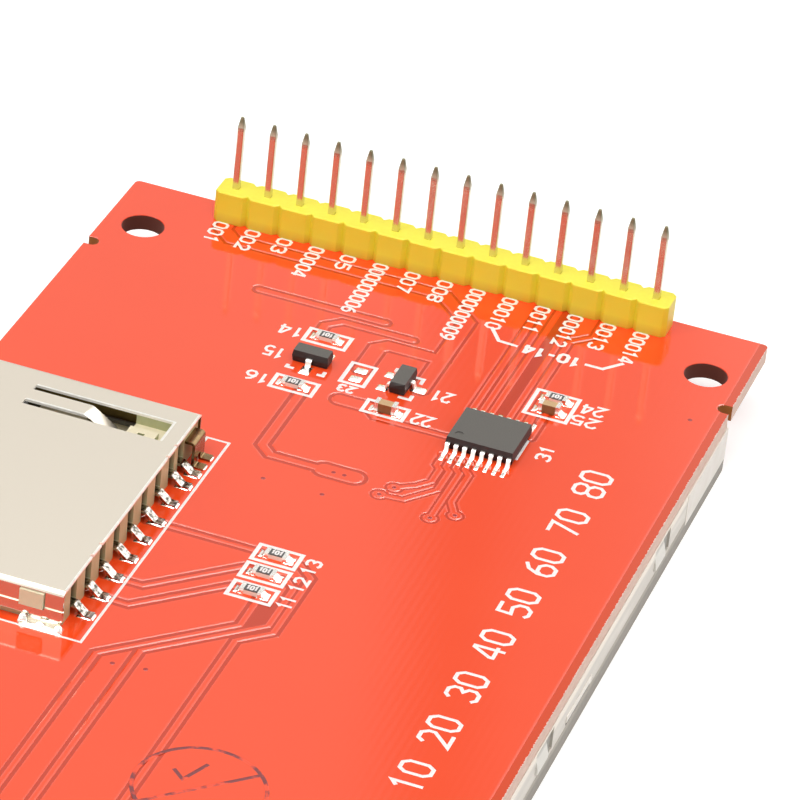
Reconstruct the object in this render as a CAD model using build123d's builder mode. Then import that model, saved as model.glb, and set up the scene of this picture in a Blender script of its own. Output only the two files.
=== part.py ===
"""Colour display module: a display with a touch panel, taped to the front of a circuit board.

The back of the board carries a pin header, a memory-card socket and a few small chips.
Sizes are in millimetres. X runs across the board, Y along it towards the pin header, and Z up
out of the board's back. The origin lies under the board's centre, on the front of the display.
"""
import os

from build123d import *

# Display outline, and the strips of board that stand out past its two ends
display_w = 50.0
display_l = 69.2
header_strip = 9.8
end_strip = 7.0

# Layers of the display, from its front face up to the board
touch_film_t = 0.2
touch_spacer_t = 0.1
touch_glass_t = 0.75
touch_gasket_t = 0.2
front_polariser_t = 0.15
filter_glass_t = 0.5
array_glass_t = 0.5
rear_polariser_t = 0.15
prism_t = 0.15
diffuser_t = 0.1
light_guide_t = 0.7
reflector_t = 0.1
tray_t = 0.15
tape_t = 0.2

# Plan sizes inside the display
spacer_w = 2.0
gasket_inset = 0.1
gasket_w = 2.6
frame_wall = 0.8
glass_fit = 0.1
film_ledge = 0.8
film_fit = 0.1
polariser_margin = 1.2
driver_ledge = 5.0
driver_chip_w = 17.0
driver_chip_l = 1.3
driver_chip_t = 0.3
driver_chip_gap = 1.1
led_room = 2.6
led_count = 4
led_pitch = 10.5
led_w = 3.0
led_l = 0.9
led_strip_end_gap = 2.65
led_strip_gap = 0.15

# Pressed tray and the snap windows along its two long walls
tray_wall_h = 2.3
tray_corner_r = 0.4
window_l = 3.6
window_h = 1.7
window_drop = 0.1
window_far_y = 17.15
window_near_y = -9.3
window_fit = 0.1
window_gap = 1.2
nub_proud = 0.15
nub_lip = 0.3

# Adhesive foam and the two flexible tails
tape_inset = 0.1
tape_flex_gap = 3.0
flex_w = 22.0
flex_t = 0.1
flex_bond = 1.4
flex_run = 14.0
flex_turn_gap = 0.3
flex_slot_gap = 0.6
tail_x = 15.2
tail_w = 5.0
tail_bond = 1.8
tail_reach = 1.5
tail_bend_r = 1.1
tail_land = 1.6
tail_slot_gap = 0.4

# Circuit board
board_t = 1.2
board_corner_r = 0.4
mount_hole_d = 3.2
mount_side_inset = 3.0
mount_far_inset = 6.2
mount_near_inset = 3.8
notch_w = 1.1
notch_depth = 1.0
notch_step = 0.2

# Pin header
pin_count = 14
pin_pitch = 2.54
pin_size = 0.52
pin_corner_r = 0.1
pin_hole_d = 1.0
pin_above = 6.0
pin_below = 3.0
pin_tip_l = 0.8
pin_tip_size = 0.22
pin_tip_corner_r = 0.06
header_edge = 1.6
housing_w = 2.5
housing_h = 2.54
housing_notch = 0.32
solder_base_d = 1.7
solder_top_d = 1.05
solder_h = 0.8
spare_pin_count = 4

# Memory-card socket: pressed cover, moulded body and spring contacts
socket_l = 17.8
socket_h = 2.8
socket_y = -1.9
cover_t = 0.2
cover_bend_r = 0.35
cover_wall_gap = 0.6
cover_ledge_h = 0.75
cover_ledge_t = 0.1
cover_foot_l = 2.8
cover_foot_w = 0.55
cover_foot_inset = 0.1
cover_tab_w = 1.6
cover_tab_far_y = 6.95
cover_tab_near_y = -6.6
cover_nick_w = 0.25
cover_nick_l = 0.2
finger_l = 4.5
finger_root = 6.2
finger_y = 9.08
finger_w = 1.4
finger_slot_w = 0.6
finger_slope_l = 1.9
finger_drop = 1.2
finger_window_l = 3.9
body_fit = 0.05
body_depth = 3.9
body_setback = 0.15
body_floor_l = 7.6
body_floor_t = 0.35
body_lug_l = 1.8
body_lug_h = 1.3
body_lug_inset = 1.3
body_lug_drop = 0.12
body_lug_proud = 0.2
body_pocket_depth = 0.9
body_block_l = 2.1
body_block_w = 1.5
body_block_h = 0.45
body_block_hole_l = 0.5
body_block_hole_w = 0.3
body_recess_w = 1.05
body_recess_depth = 0.5
peg_d = 1.2
peg_h = 1.1
peg_hole_d = 1.3
peg_inset = 1.9
peg_setback = 3.0
contact_w = 0.75
contact_t = 0.2
contact_bend_r = 0.16
contact_toe = 1.35
contact_rise = 0.05
contact_slope_l = 0.75
contact_h = 0.75
contact_spring_l = 4.8
contact_spring_h = 0.45
contact_hook_l = 0.7
contact_hook_drop = 0.3
contact_slot_gap = 0.1
contact_count = 8
contact_pitch = 2.5
contact_last_pitch = 1.7
contact_near_edge = 2.2
contact_far_edge = 3.5
detect_t = 0.2
detect_w = 2.0
detect_h = 2.05
detect_reach = 0.55
detect_bend_r = 0.2
detect_gap = 0.3
detect_split_w = 0.55
detect_split_h = 0.75

# Touch-controller chip with sixteen gull-wing leads
touch_chip_x = 10.7
touch_chip_y = 20.65
touch_chip_w = 5.0
touch_chip_l = 4.4
touch_chip_h = 0.95
touch_chip_lift = 0.1
touch_lead_rows = 8
touch_lead_pitch = 0.65
touch_lead_w = 0.3
touch_lead_t = 0.13
touch_lead_span = 6.4
pin_mark_d = 0.6
pin_mark_depth = 0.05
pin_mark_inset = 0.75

# Three-lead regulator and transistor
small_chip_l = 2.75
small_chip_w = 1.25
small_chip_h = 0.92
small_chip_lift = 0.08
small_lead_pitch = 1.9
small_lead_w = 0.42
small_lead_t = 0.13
small_lead_span = 2.5
transistor_x = -4.1
transistor_y = 24.85
regulator_x = 2.8
regulator_y = 24.85
mould_draft = 8.0
lead_shoulder = 0.2
lead_bend_r = 0.1

# Chip resistors and capacitors
chip_l = 1.6
chip_w = 0.8
resistor_h = 0.45
capacitor_h = 0.8
chip_cap_l = 0.3
chip_cap_t = 0.04
card_resistor_x = 2.5
card_resistor_y = 0.13
card_resistor_pitch = 2.36
card_resistor_count = 3
base_resistor_x = -4.2
base_resistor_y = 28.25
lamp_resistor_y = 21.2
touch_pair_x = 13.35
touch_resistor_y = 28.2
touch_capacitor_y = 26.55
supply_capacitor_x = 2.88
supply_capacitor_y = 21.05

# Heights of the layers, and the board's outline, worked out from the sizes above
spacer_z = touch_film_t
touch_glass_z = spacer_z + touch_spacer_t
gasket_z = touch_glass_z + touch_glass_t
front_polariser_z = gasket_z + touch_gasket_t
filter_z = front_polariser_z + front_polariser_t
array_z = filter_z + filter_glass_t
rear_polariser_z = array_z + array_glass_t
prism_z = rear_polariser_z + rear_polariser_t
diffuser_z = prism_z + prism_t
light_guide_z = diffuser_z + diffuser_t
reflector_z = light_guide_z + light_guide_t
tray_z = reflector_z + reflector_t
tape_z = tray_z + tray_t
board_z = tape_z + tape_t
board_top = board_z + board_t

board_w = display_w
board_l = display_l + header_strip + end_strip
display_far_y = board_l / 2 - header_strip
display_y = display_far_y - display_l / 2
header_y = board_l / 2 - header_edge


def keep(piece, name):
    """Label a finished piece and write its file."""
    piece.part.label = name
    export_step(piece.part, f"parts/{name}.step")


def sheet(name, z, thickness, width, length, centre_y):
    """A plain rectangular layer of the display."""
    with BuildPart() as layer:
        with BuildSketch(Plane.XY.offset(z)):
            with Locations((0, centre_y)):
                Rectangle(width, length)
        extrude(amount=thickness)
    keep(layer, name)


def bent_strip(points, bend_r, width, thickness, plane):
    """A flat strip of metal or film, bent along a path that lies in the given plane."""
    with BuildPart() as strip:
        with BuildLine(plane) as route:
            FilletPolyline(*points, radius=bend_r)
        start = Plane(origin=route.line @ 0, x_dir=plane.z_dir, z_dir=route.line % 0)
        with BuildSketch(start):
            Rectangle(width, thickness)
        sweep(path=route.line)
    return strip.part


def moulded_body(x, y, width, length, height, lift):
    """A chip's moulded package, tapered both ways from the parting line at half its height."""
    with BuildPart() as package:
        for taper_up in (1, -1):
            with BuildSketch(Plane.XY.offset(board_top + lift + height / 2)):
                with Locations((x, y)):
                    Rectangle(width, length)
            extrude(amount=taper_up * height / 2, taper=mould_draft)
    return package


def gull_lead(exit_h, reach, width, thickness):
    """One lead that leaves a package along +Y, steps down to the board and ends in a flat foot."""
    foot_z = thickness / 2
    knee_y = lead_shoulder + thickness
    points = ((0, exit_h), (lead_shoulder, exit_h), (knee_y, foot_z), (reach, foot_z))
    return bent_strip(points, lead_bend_r, width, thickness, Plane.YZ)


os.makedirs("parts", exist_ok=True)

# Touch panel: printed film in front, spacer ring, glass behind, and the gasket that holds it on
sheet("touch_film", 0, touch_film_t, display_w, display_l, display_y)
sheet("touch_glass", touch_glass_z, touch_glass_t, display_w, display_l, display_y)

with BuildPart() as touch_spacer:
    with BuildSketch(Plane.XY.offset(spacer_z)):
        with Locations((0, display_y)):
            Rectangle(display_w, display_l)
            Rectangle(display_w - 2 * spacer_w, display_l - 2 * spacer_w, mode=Mode.SUBTRACT)
        with Locations((tail_x, display_far_y)):
            Rectangle(tail_w + 2 * tail_slot_gap, 2 * spacer_w, mode=Mode.SUBTRACT)
    extrude(amount=touch_spacer_t)
keep(touch_spacer, "touch_spacer")

gasket_outer_w = display_w - 2 * gasket_inset
gasket_outer_l = display_l - 2 * gasket_inset
with BuildPart() as touch_gasket:
    with BuildSketch(Plane.XY.offset(gasket_z)):
        with Locations((0, display_y)):
            Rectangle(gasket_outer_w, gasket_outer_l)
            Rectangle(gasket_outer_w - 2 * gasket_w, gasket_outer_l - 2 * gasket_w, mode=Mode.SUBTRACT)
    extrude(amount=touch_gasket_t)
keep(touch_gasket, "touch_gasket")

# Flexible tail of the touch panel: out of the spacer layer, up past the display and onto the board
tail_z = spacer_z + touch_spacer_t / 2
tail_bend_y = display_far_y + tail_reach + tail_bend_r
tail_end_y = tail_bend_y + tail_bend_r + tail_land
tail_board_z = board_z - touch_spacer_t / 2
tail_points = (
    (display_far_y - tail_bond, tail_z),
    (tail_bend_y, tail_z),
    (tail_bend_y, tail_board_z),
    (tail_end_y, tail_board_z),
)
with BuildPart() as touch_tail:
    add(bent_strip(tail_points, tail_bend_r, tail_w, touch_spacer_t, Plane.YZ.offset(tail_x)))
keep(touch_tail, "touch_tail")

# Glass cell: array glass with a bare ledge for the driver chip, filter glass and two polarisers
glass_edge = tray_t + frame_wall + glass_fit
glass_w = display_w - 2 * glass_edge
array_l = display_l - 2 * glass_edge
array_far_y = display_far_y - glass_edge
filter_l = array_l - driver_ledge
filter_y = display_y - driver_ledge / 2
filter_far_y = array_far_y - driver_ledge
polariser_w = glass_w - 2 * polariser_margin
polariser_l = filter_l - 2 * polariser_margin
sheet("front_polariser", front_polariser_z, front_polariser_t, polariser_w, polariser_l, filter_y)
sheet("filter_glass", filter_z, filter_glass_t, glass_w, filter_l, filter_y)
sheet("array_glass", array_z, array_glass_t, glass_w, array_l, display_y)
sheet("rear_polariser", rear_polariser_z, rear_polariser_t, polariser_w, polariser_l, filter_y)
driver_chip_y = filter_far_y + driver_chip_gap + driver_chip_l / 2
sheet("driver_chip", array_z - driver_chip_t, driver_chip_t, driver_chip_w, driver_chip_l, driver_chip_y)

# Backlight: prism and diffuser films, light guide and reflector, with a row of LEDs at the header end
film_w = glass_w - 2 * film_ledge
film_l = array_l - 2 * film_ledge
film_far_y = display_y + film_l / 2
guide_l = film_l - led_room
guide_y = display_y - led_room / 2
led_row_y = film_far_y - led_room + led_l / 2
led_strip_l = led_room - led_strip_gap
led_strip_y = film_far_y - led_room / 2
led_strip_w = film_w - 2 * led_strip_end_gap
sheet("prism_film", prism_z, prism_t, film_w, film_l, display_y)
sheet("diffuser_film", diffuser_z, diffuser_t, film_w, film_l, display_y)
sheet("light_guide", light_guide_z, light_guide_t, film_w, guide_l, guide_y)
sheet("reflector_film", reflector_z, reflector_t, film_w, guide_l, guide_y)
sheet("led_strip", reflector_z, reflector_t, led_strip_w, led_strip_l, led_strip_y)

with BuildPart() as backlight_leds:
    with BuildSketch(Plane.XY.offset(light_guide_z)):
        with Locations((0, led_row_y)):
            with GridLocations(led_pitch, 0, led_count, 1):
                Rectangle(led_w, led_l)
    extrude(amount=light_guide_t)
keep(backlight_leds, "backlight_leds")

# Moulded frame that holds the glass and the films, with nubs that snap into the tray's windows
frame_w = display_w - 2 * tray_t
frame_l = display_l - 2 * tray_t
frame_h = tray_z - front_polariser_z
frame_corner_r = tray_corner_r - tray_t
flex_slot_w = flex_w + 2 * flex_slot_gap
window_ys = (window_far_y, window_near_y)
window_top = tray_z - window_drop
window_z = window_top - window_h / 2
nub_l = window_l - 2 * window_fit - window_gap
nub_low = window_z - window_h / 2 + window_fit
nub_high = window_z + window_h / 2 - window_fit
nub_profile = (
    (frame_w / 2, nub_low),
    (display_w / 2 + nub_proud, nub_low),
    (display_w / 2 + nub_proud, nub_low + nub_lip),
    (frame_w / 2, nub_high),
)
with BuildPart() as backlight_frame:
    with BuildSketch(Plane.XY.offset(front_polariser_z)):
        with Locations((0, display_y)):
            RectangleRounded(frame_w, frame_l, frame_corner_r)
    extrude(amount=frame_h)
    with BuildSketch(Plane.XY.offset(front_polariser_z)):
        with Locations((0, display_y)):
            Rectangle(glass_w + 2 * glass_fit, array_l + 2 * glass_fit)
    extrude(amount=rear_polariser_z - front_polariser_z, mode=Mode.SUBTRACT)
    with BuildSketch(Plane.XY.offset(rear_polariser_z)):
        with Locations((0, display_y)):
            Rectangle(film_w + 2 * film_fit, film_l + 2 * film_fit)
    extrude(amount=tray_z - rear_polariser_z, mode=Mode.SUBTRACT)
    with BuildSketch(Plane.XY.offset(front_polariser_z)):
        with Locations((0, display_far_y)):
            Rectangle(flex_slot_w, 2 * glass_edge)
    extrude(amount=array_z - front_polariser_z, mode=Mode.SUBTRACT)
    for window_y in window_ys:
        for side in (-1, 1):
            with BuildSketch(Plane.XZ.offset(window_gap / 2 - window_y)):
                with BuildLine():
                    Polyline(*[(side * x, z) for x, z in nub_profile], close=True)
                make_face()
            extrude(amount=nub_l / 2, both=True)
keep(backlight_frame, "backlight_frame")

# Pressed steel tray round the back and sides of the display
tray_low = tape_z - tray_wall_h
with BuildPart() as backlight_tray:
    with BuildSketch(Plane.XY.offset(tray_low)):
        with Locations((0, display_y)):
            RectangleRounded(display_w, display_l, tray_corner_r)
    extrude(amount=tray_wall_h)
    with BuildSketch(Plane.XY.offset(tray_low)):
        with Locations((0, display_y)):
            RectangleRounded(frame_w, frame_l, frame_corner_r)
    extrude(amount=tray_z - tray_low, mode=Mode.SUBTRACT)
    for window_y in window_ys:
        with Locations((0, window_y, window_z)):
            Box(display_w + tray_t, window_l, window_h, mode=Mode.SUBTRACT)
    with Locations((0, display_far_y, array_z)):
        Box(flex_slot_w, 4 * tray_t, 2 * (array_z - tray_low), mode=Mode.SUBTRACT)
keep(backlight_tray, "backlight_tray")

# Main flexible tail: bonded to the ledge, turned round the display's end and soldered under the board
flex_low_z = array_z - flex_t / 2
flex_high_z = board_z - flex_t / 2
flex_turn_r = (flex_high_z - flex_low_z) / 2
flex_turn_y = display_far_y + flex_turn_gap
with BuildPart() as display_flex:
    with BuildLine(Plane.YZ) as flex_route:
        Line((array_far_y - flex_bond, flex_low_z), (flex_turn_y, flex_low_z))
        turn_top = (flex_turn_y, flex_high_z)
        TangentArc((flex_turn_y, flex_low_z), turn_top, tangent=(1, 0))
        Line(turn_top, (display_far_y - flex_run, flex_high_z))
    flex_start = Plane(origin=flex_route.line @ 0, x_dir=(1, 0, 0), z_dir=flex_route.line % 0)
    with BuildSketch(flex_start):
        Rectangle(flex_w, flex_t)
    sweep(path=flex_route.line)
keep(display_flex, "display_flex")

# Die-cut adhesive foam between tray and board, open at the header end for the flexible tail
tape_open_l = flex_run + tape_flex_gap
with BuildPart() as adhesive_foam:
    with BuildSketch(Plane.XY.offset(tape_z)):
        with Locations((0, display_y)):
            Rectangle(display_w - 2 * tape_inset, display_l - 2 * tape_inset)
        with Locations((0, display_far_y)):
            Rectangle(flex_w + 2 * tape_flex_gap, 2 * tape_open_l, mode=Mode.SUBTRACT)
    extrude(amount=tape_t)
keep(adhesive_foam, "adhesive_foam")

# Circuit board with its mounting holes, edge notches and pin holes
mount_x = board_w / 2 - mount_side_inset
mount_far_y = board_l / 2 - mount_far_inset
mount_near_y = mount_near_inset - board_l / 2
mount_spots = [(side * mount_x, y) for side in (-1, 1) for y in (mount_far_y, mount_near_y)]
notch_spots = [(side * board_w / 2, display_far_y - notch_step) for side in (-1, 1)]
pin_xs = [pin_pitch * (i - (pin_count - 1) / 2) for i in range(pin_count)]
spare_xs = [pin_pitch * (i - (spare_pin_count - 1) / 2) for i in range(spare_pin_count)]
contact_row = (contact_count - 1) * contact_pitch
contact_span = contact_row + contact_last_pitch
socket_w = contact_near_edge + contact_span + contact_far_edge
socket_left = -board_w / 2
socket_right = socket_left + socket_l
socket_x = (socket_left + socket_right) / 2
peg_x = socket_right - peg_setback
peg_ys = [socket_y + side * (socket_w / 2 - peg_inset) for side in (-1, 1)]
with BuildPart() as circuit_board:
    with BuildSketch(Plane.XY.offset(board_z)):
        RectangleRounded(board_w, board_l, board_corner_r)
        with Locations(*mount_spots):
            Circle(mount_hole_d / 2, mode=Mode.SUBTRACT)
        with Locations(*notch_spots):
            SlotOverall(2 * notch_depth, notch_w, mode=Mode.SUBTRACT)
        with Locations(*[(x, header_y) for x in pin_xs]):
            Circle(pin_hole_d / 2, mode=Mode.SUBTRACT)
        with Locations(*[(x, -header_y) for x in spare_xs]):
            Circle(pin_hole_d / 2, mode=Mode.SUBTRACT)
        with Locations(*[(peg_x, y) for y in peg_ys]):
            Circle(peg_hole_d / 2, mode=Mode.SUBTRACT)
    extrude(amount=board_t)
keep(circuit_board, "circuit_board")

# Pin header: one moulding with a notch between each pair of pins, the pins and their solder
with BuildPart() as header_housing:
    with BuildSketch(Plane.XY.offset(board_top)):
        with Locations(*[(x, header_y) for x in pin_xs]):
            Rectangle(pin_pitch, housing_w)
            RectangleRounded(pin_size, pin_size, pin_corner_r, mode=Mode.SUBTRACT)
        notch_xs = [x - pin_pitch / 2 for x in pin_xs] + [pin_xs[-1] + pin_pitch / 2]
        for side in (-1, 1):
            with Locations(*[(x, header_y + side * housing_w / 2) for x in notch_xs]):
                Rectangle(2**0.5 * housing_notch, 2**0.5 * housing_notch, rotation=45, mode=Mode.SUBTRACT)
    extrude(amount=housing_h)
keep(header_housing, "header_housing")

pin_low = board_top - pin_below
pin_high = board_top + housing_h + pin_above
for number, x in enumerate(pin_xs, start=1):
    with BuildPart() as header_pin:
        with BuildSketch(Plane.XY.offset(pin_low + pin_tip_l)):
            with Locations((x, header_y)):
                RectangleRounded(pin_size, pin_size, pin_corner_r)
        extrude(amount=pin_high - pin_low - 2 * pin_tip_l)
        for tip_base, tip_end in ((pin_low + pin_tip_l, pin_low), (pin_high - pin_tip_l, pin_high)):
            with BuildSketch(Plane.XY.offset(tip_base)):
                with Locations((x, header_y)):
                    RectangleRounded(pin_size, pin_size, pin_corner_r)
            with BuildSketch(Plane.XY.offset(tip_end)):
                with Locations((x, header_y)):
                    RectangleRounded(pin_tip_size, pin_tip_size, pin_tip_corner_r)
            loft()
    keep(header_pin, f"header_pin_{number:02d}")

with BuildPart() as header_solder:
    with Locations(*[(x, header_y, board_z - solder_h / 2) for x in pin_xs]):
        Cone(solder_top_d / 2, solder_base_d / 2, solder_h)
    with BuildSketch(Plane.XY.offset(board_z)):
        with Locations(*[(x, header_y) for x in pin_xs]):
            RectangleRounded(pin_size, pin_size, pin_corner_r)
    extrude(amount=-solder_h, mode=Mode.SUBTRACT)
keep(header_solder, "header_solder")

# Cover of the card socket: one sheet bent into a channel, with a spring finger, windows and feet
socket_top = board_top + socket_h
cover_low = board_top + cover_wall_gap
cover_inner_w = socket_w - 2 * cover_t
cover_inner_top = socket_top - cover_t
lug_x = socket_right - body_lug_inset - body_lug_l / 2
lug_z = cover_inner_top - body_lug_drop - body_lug_h / 2
finger_mid_y = socket_y + finger_y
finger_root_x = socket_left + finger_root
finger_end_x = finger_root_x + finger_l
finger_open_w = finger_w + 2 * finger_slot_w
finger_open_l = finger_l + finger_slope_l + finger_window_l
finger_z = socket_top - cover_t / 2
foot_x = socket_right - cover_foot_inset - cover_foot_l / 2
far_foot_x = socket_left + cover_foot_inset + cover_foot_l / 2
leg_h = cover_low - board_top
slope_points = (
    (finger_root_x, finger_z),
    (finger_end_x, finger_z),
    (finger_end_x + finger_slope_l, finger_z - finger_drop),
)
with BuildPart() as socket_cover:
    with BuildSketch(Plane.YZ.offset(socket_left)) as channel:
        with Locations((socket_y, (cover_low + socket_top) / 2)):
            Rectangle(socket_w, socket_top - cover_low)
        fillet(channel.vertices().group_by(Axis.Y)[-1], cover_bend_r)
        with BuildSketch(Plane.YZ.offset(socket_left), mode=Mode.SUBTRACT) as channel_inside:
            with Locations((socket_y, (cover_low + cover_inner_top) / 2)):
                Rectangle(cover_inner_w, cover_inner_top - cover_low)
            fillet(channel_inside.vertices().group_by(Axis.Y)[-1], cover_bend_r - cover_t)
    extrude(amount=socket_l)
    with BuildSketch(Plane.XY.offset(socket_top)):
        with Locations((finger_root_x + finger_open_l / 2, finger_mid_y)):
            Rectangle(finger_open_l, finger_open_w)
        for tab_y in (cover_tab_far_y, cover_tab_near_y):
            with Locations((socket_right, socket_y + tab_y)):
                with GridLocations(0, cover_tab_w, 1, 2):
                    Rectangle(2 * cover_nick_l, cover_nick_w)
    extrude(amount=-2 * cover_t, mode=Mode.SUBTRACT)
    add(bent_strip(slope_points, cover_bend_r, finger_w, cover_t, Plane.XZ.offset(-finger_mid_y)))
    with Locations((socket_x, socket_y, cover_low + cover_ledge_h / 2)):
        with GridLocations(0, socket_w + cover_ledge_t, 1, 2):
            Box(socket_l, cover_ledge_t, cover_ledge_h)
    with Locations((lug_x, socket_y, lug_z)):
        Box(body_lug_l, socket_w + 4 * cover_ledge_t, body_lug_h, mode=Mode.SUBTRACT)
    for side in (-1, 1):
        wall_y = socket_y + side * (socket_w / 2 - cover_t / 2)
        foot_y = socket_y + side * (socket_w / 2 + cover_foot_w / 2)
        for x in (foot_x, far_foot_x):
            with Locations((x, wall_y, board_top + leg_h / 2)):
                Box(cover_foot_l, cover_t, leg_h)
            with Locations((x, foot_y, board_top + cover_t / 2)):
                Box(cover_foot_l, cover_foot_w, cover_t)
keep(socket_cover, "socket_cover")

# Moulded body of the card socket: a floor, and the thick wall whose recesses hold the contacts
body_w = cover_inner_w - 2 * body_fit
body_right = socket_right - body_setback
body_left = body_right - body_depth
body_top = cover_inner_top
floor_left = body_left - body_floor_l
contact_steps = [i * contact_pitch for i in range(contact_count)] + [contact_span]
contact_ys = [socket_y - socket_w / 2 + contact_near_edge + step for step in contact_steps]
slot_w = contact_w + 2 * contact_slot_gap
slot_top = board_top + contact_h + contact_t / 2
block_x = body_left + body_block_l / 2
block_y = finger_mid_y - finger_open_w / 2 + body_block_w / 2
detect_y = contact_ys[-1] + contact_w / 2 + detect_gap + detect_w / 2
with BuildPart() as socket_body:
    with BuildSketch(Plane.XY.offset(board_top)):
        with Locations(((floor_left + body_right) / 2, socket_y)):
            Rectangle(body_right - floor_left, body_w)
    extrude(amount=body_floor_t)
    with BuildSketch(Plane.XY.offset(board_top)):
        with Locations(((body_left + body_right) / 2, socket_y)):
            Rectangle(body_depth, body_w - 2 * cover_bend_r)
    extrude(amount=body_top - board_top)
    with BuildSketch(Plane.XY.offset(board_top)):
        with Locations(((body_left + body_right) / 2, socket_y)):
            Rectangle(body_depth, body_w)
    extrude(amount=body_top - board_top - cover_bend_r)
    with Locations((lug_x, socket_y, lug_z)):
        Box(body_lug_l - 2 * body_fit, socket_w + 2 * body_lug_proud, body_lug_h - 2 * body_fit)
    with BuildSketch(Plane.XY.offset(socket_top)):
        with Locations((finger_root_x + finger_open_l / 2, finger_mid_y)):
            Rectangle(finger_open_l, finger_open_w)
    extrude(amount=-body_pocket_depth, mode=Mode.SUBTRACT)
    with Locations((block_x, block_y, socket_top - body_pocket_depth + body_block_h / 2)):
        Box(body_block_l, body_block_w, body_block_h)
        Box(body_block_hole_l, body_block_hole_w, body_block_h, mode=Mode.SUBTRACT)
    with BuildSketch(Plane.XY.offset(board_top)):
        with Locations(*[(body_right, y) for y in contact_ys]):
            Rectangle(2 * body_depth, slot_w)
    extrude(amount=slot_top - board_top, mode=Mode.SUBTRACT)
    with BuildSketch(Plane.XY.offset(slot_top)):
        with Locations(*[(body_right, y) for y in contact_ys]):
            Rectangle(2 * body_recess_depth, body_recess_w)
    extrude(amount=body_top - slot_top, mode=Mode.SUBTRACT)
    with Locations(*[(peg_x, y, board_top - peg_h / 2) for y in peg_ys]):
        Cylinder(peg_d / 2, peg_h)
keep(socket_body, "socket_body")

# Nine spring contacts: a soldered toe, a rise, a stretch held in the body and a hooked spring
toe_x = socket_right + contact_toe
rise_x = socket_right + contact_rise
spring_x = body_left - contact_spring_l
contact_mid = contact_t / 2
contact_points = (
    (toe_x, contact_mid),
    (rise_x + contact_slope_l, contact_mid),
    (rise_x, contact_h),
    (body_left - contact_t, contact_h),
    (spring_x, contact_h + contact_spring_h),
    (spring_x - contact_hook_l, contact_h + contact_spring_h - contact_hook_drop),
)
contact = bent_strip(contact_points, contact_bend_r, contact_w, contact_t, Plane.XZ)
with BuildPart() as socket_contacts:
    with Locations(*[(0, y, board_top) for y in contact_ys]):
        add(contact)
keep(socket_contacts, "socket_contacts")

# Card-detect contact: a plate bent down from an arm on the body, split into two soldered feet
detect_x = socket_right + detect_reach
detect_mid = detect_t / 2
detect_points = (
    (body_right, detect_h - detect_mid),
    (detect_x, detect_h - detect_mid),
    (detect_x, detect_mid),
    (toe_x, detect_mid),
)
with BuildPart() as detect_contact:
    with Locations((0, detect_y, board_top)):
        add(bent_strip(detect_points, detect_bend_r, detect_w, detect_t, Plane.XZ))
    with Locations((toe_x, detect_y, board_top)):
        Box(2 * (toe_x - body_right), detect_split_w, 2 * detect_split_h, mode=Mode.SUBTRACT)
keep(detect_contact, "detect_contact")

# Touch-controller chip and its two rows of leads
touch_chip = moulded_body(
    touch_chip_x, touch_chip_y, touch_chip_w, touch_chip_l, touch_chip_h, touch_chip_lift
)
with touch_chip:
    mark_x = touch_chip_x - touch_chip_w / 2 + pin_mark_inset
    mark_y = touch_chip_y - touch_chip_l / 2 + pin_mark_inset
    with Locations((mark_x, mark_y, board_top + touch_chip_lift + touch_chip_h)):
        Cylinder(pin_mark_d / 2, 2 * pin_mark_depth, mode=Mode.SUBTRACT)
keep(touch_chip, "touch_chip")

touch_lead_reach = (touch_lead_span - touch_chip_l) / 2
touch_lead = gull_lead(touch_chip_lift + touch_chip_h / 2, touch_lead_reach, touch_lead_w, touch_lead_t)
with BuildPart() as touch_chip_leads:
    for side, turn in ((1, 0), (-1, 180)):
        row_y = touch_chip_y + side * touch_chip_l / 2
        with Locations(Location((touch_chip_x, row_y, board_top), (0, 0, turn))):
            with GridLocations(touch_lead_pitch, 0, touch_lead_rows, 1):
                add(touch_lead)
keep(touch_chip_leads, "touch_chip_leads")

# Transistor and regulator, in the same three-lead package turned a quarter from each other
small_lead_reach = (small_lead_span - small_chip_w) / 2
small_lead = gull_lead(small_chip_lift + small_chip_h / 2, small_lead_reach, small_lead_w, small_lead_t)
small_chips = (("transistor", transistor_x, transistor_y, 0), ("regulator", regulator_x, regulator_y, 90))
for name, x, y, turn in small_chips:
    across = turn == 90
    size_x = small_chip_w if across else small_chip_l
    size_y = small_chip_l if across else small_chip_w
    package = moulded_body(x, y, size_x, size_y, small_chip_h, small_chip_lift)
    keep(package, name)
    with BuildPart() as leads:
        with Locations(Location((x, y, board_top), (0, 0, turn))):
            with Locations((0, small_chip_w / 2, 0)):
                with GridLocations(small_lead_pitch, 0, 2, 1):
                    add(small_lead)
            with Locations(Location((0, -small_chip_w / 2, 0), (0, 0, 180))):
                add(small_lead)
    keep(leads, f"{name}_leads")

# Chip resistors and capacitors: a bare body each, and the metal caps over all their ends
card_resistor_ys = [card_resistor_y - i * card_resistor_pitch for i in range(card_resistor_count)]
resistor_spots = [(card_resistor_x, y) for y in card_resistor_ys]
resistor_spots += [(base_resistor_x, base_resistor_y), (base_resistor_x, lamp_resistor_y)]
resistor_spots += [(touch_pair_x, touch_resistor_y)]
capacitor_spots = [(supply_capacitor_x, supply_capacitor_y), (touch_pair_x, touch_capacitor_y)]
chips = [(f"resistor_{n}", x, y, resistor_h) for n, (x, y) in enumerate(resistor_spots, start=1)]
chips += [(f"capacitor_{n}", x, y, capacitor_h) for n, (x, y) in enumerate(capacitor_spots, start=1)]
core_l = chip_l - 2 * chip_cap_t
core_w = chip_w - 2 * chip_cap_t
for name, x, y, height in chips:
    with BuildPart() as chip:
        with Locations((x, y, board_top + height / 2)):
            Box(core_l, core_w, height - 2 * chip_cap_t)
    keep(chip, name)

with BuildPart() as chip_caps:
    for name, x, y, height in chips:
        with Locations((x, y, board_top + height / 2)):
            with GridLocations(chip_l - chip_cap_l, 0, 2, 1):
                Box(chip_cap_l, chip_w, height)
            Box(core_l, core_w, height - 2 * chip_cap_t, mode=Mode.SUBTRACT)
keep(chip_caps, "chip_caps")
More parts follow.
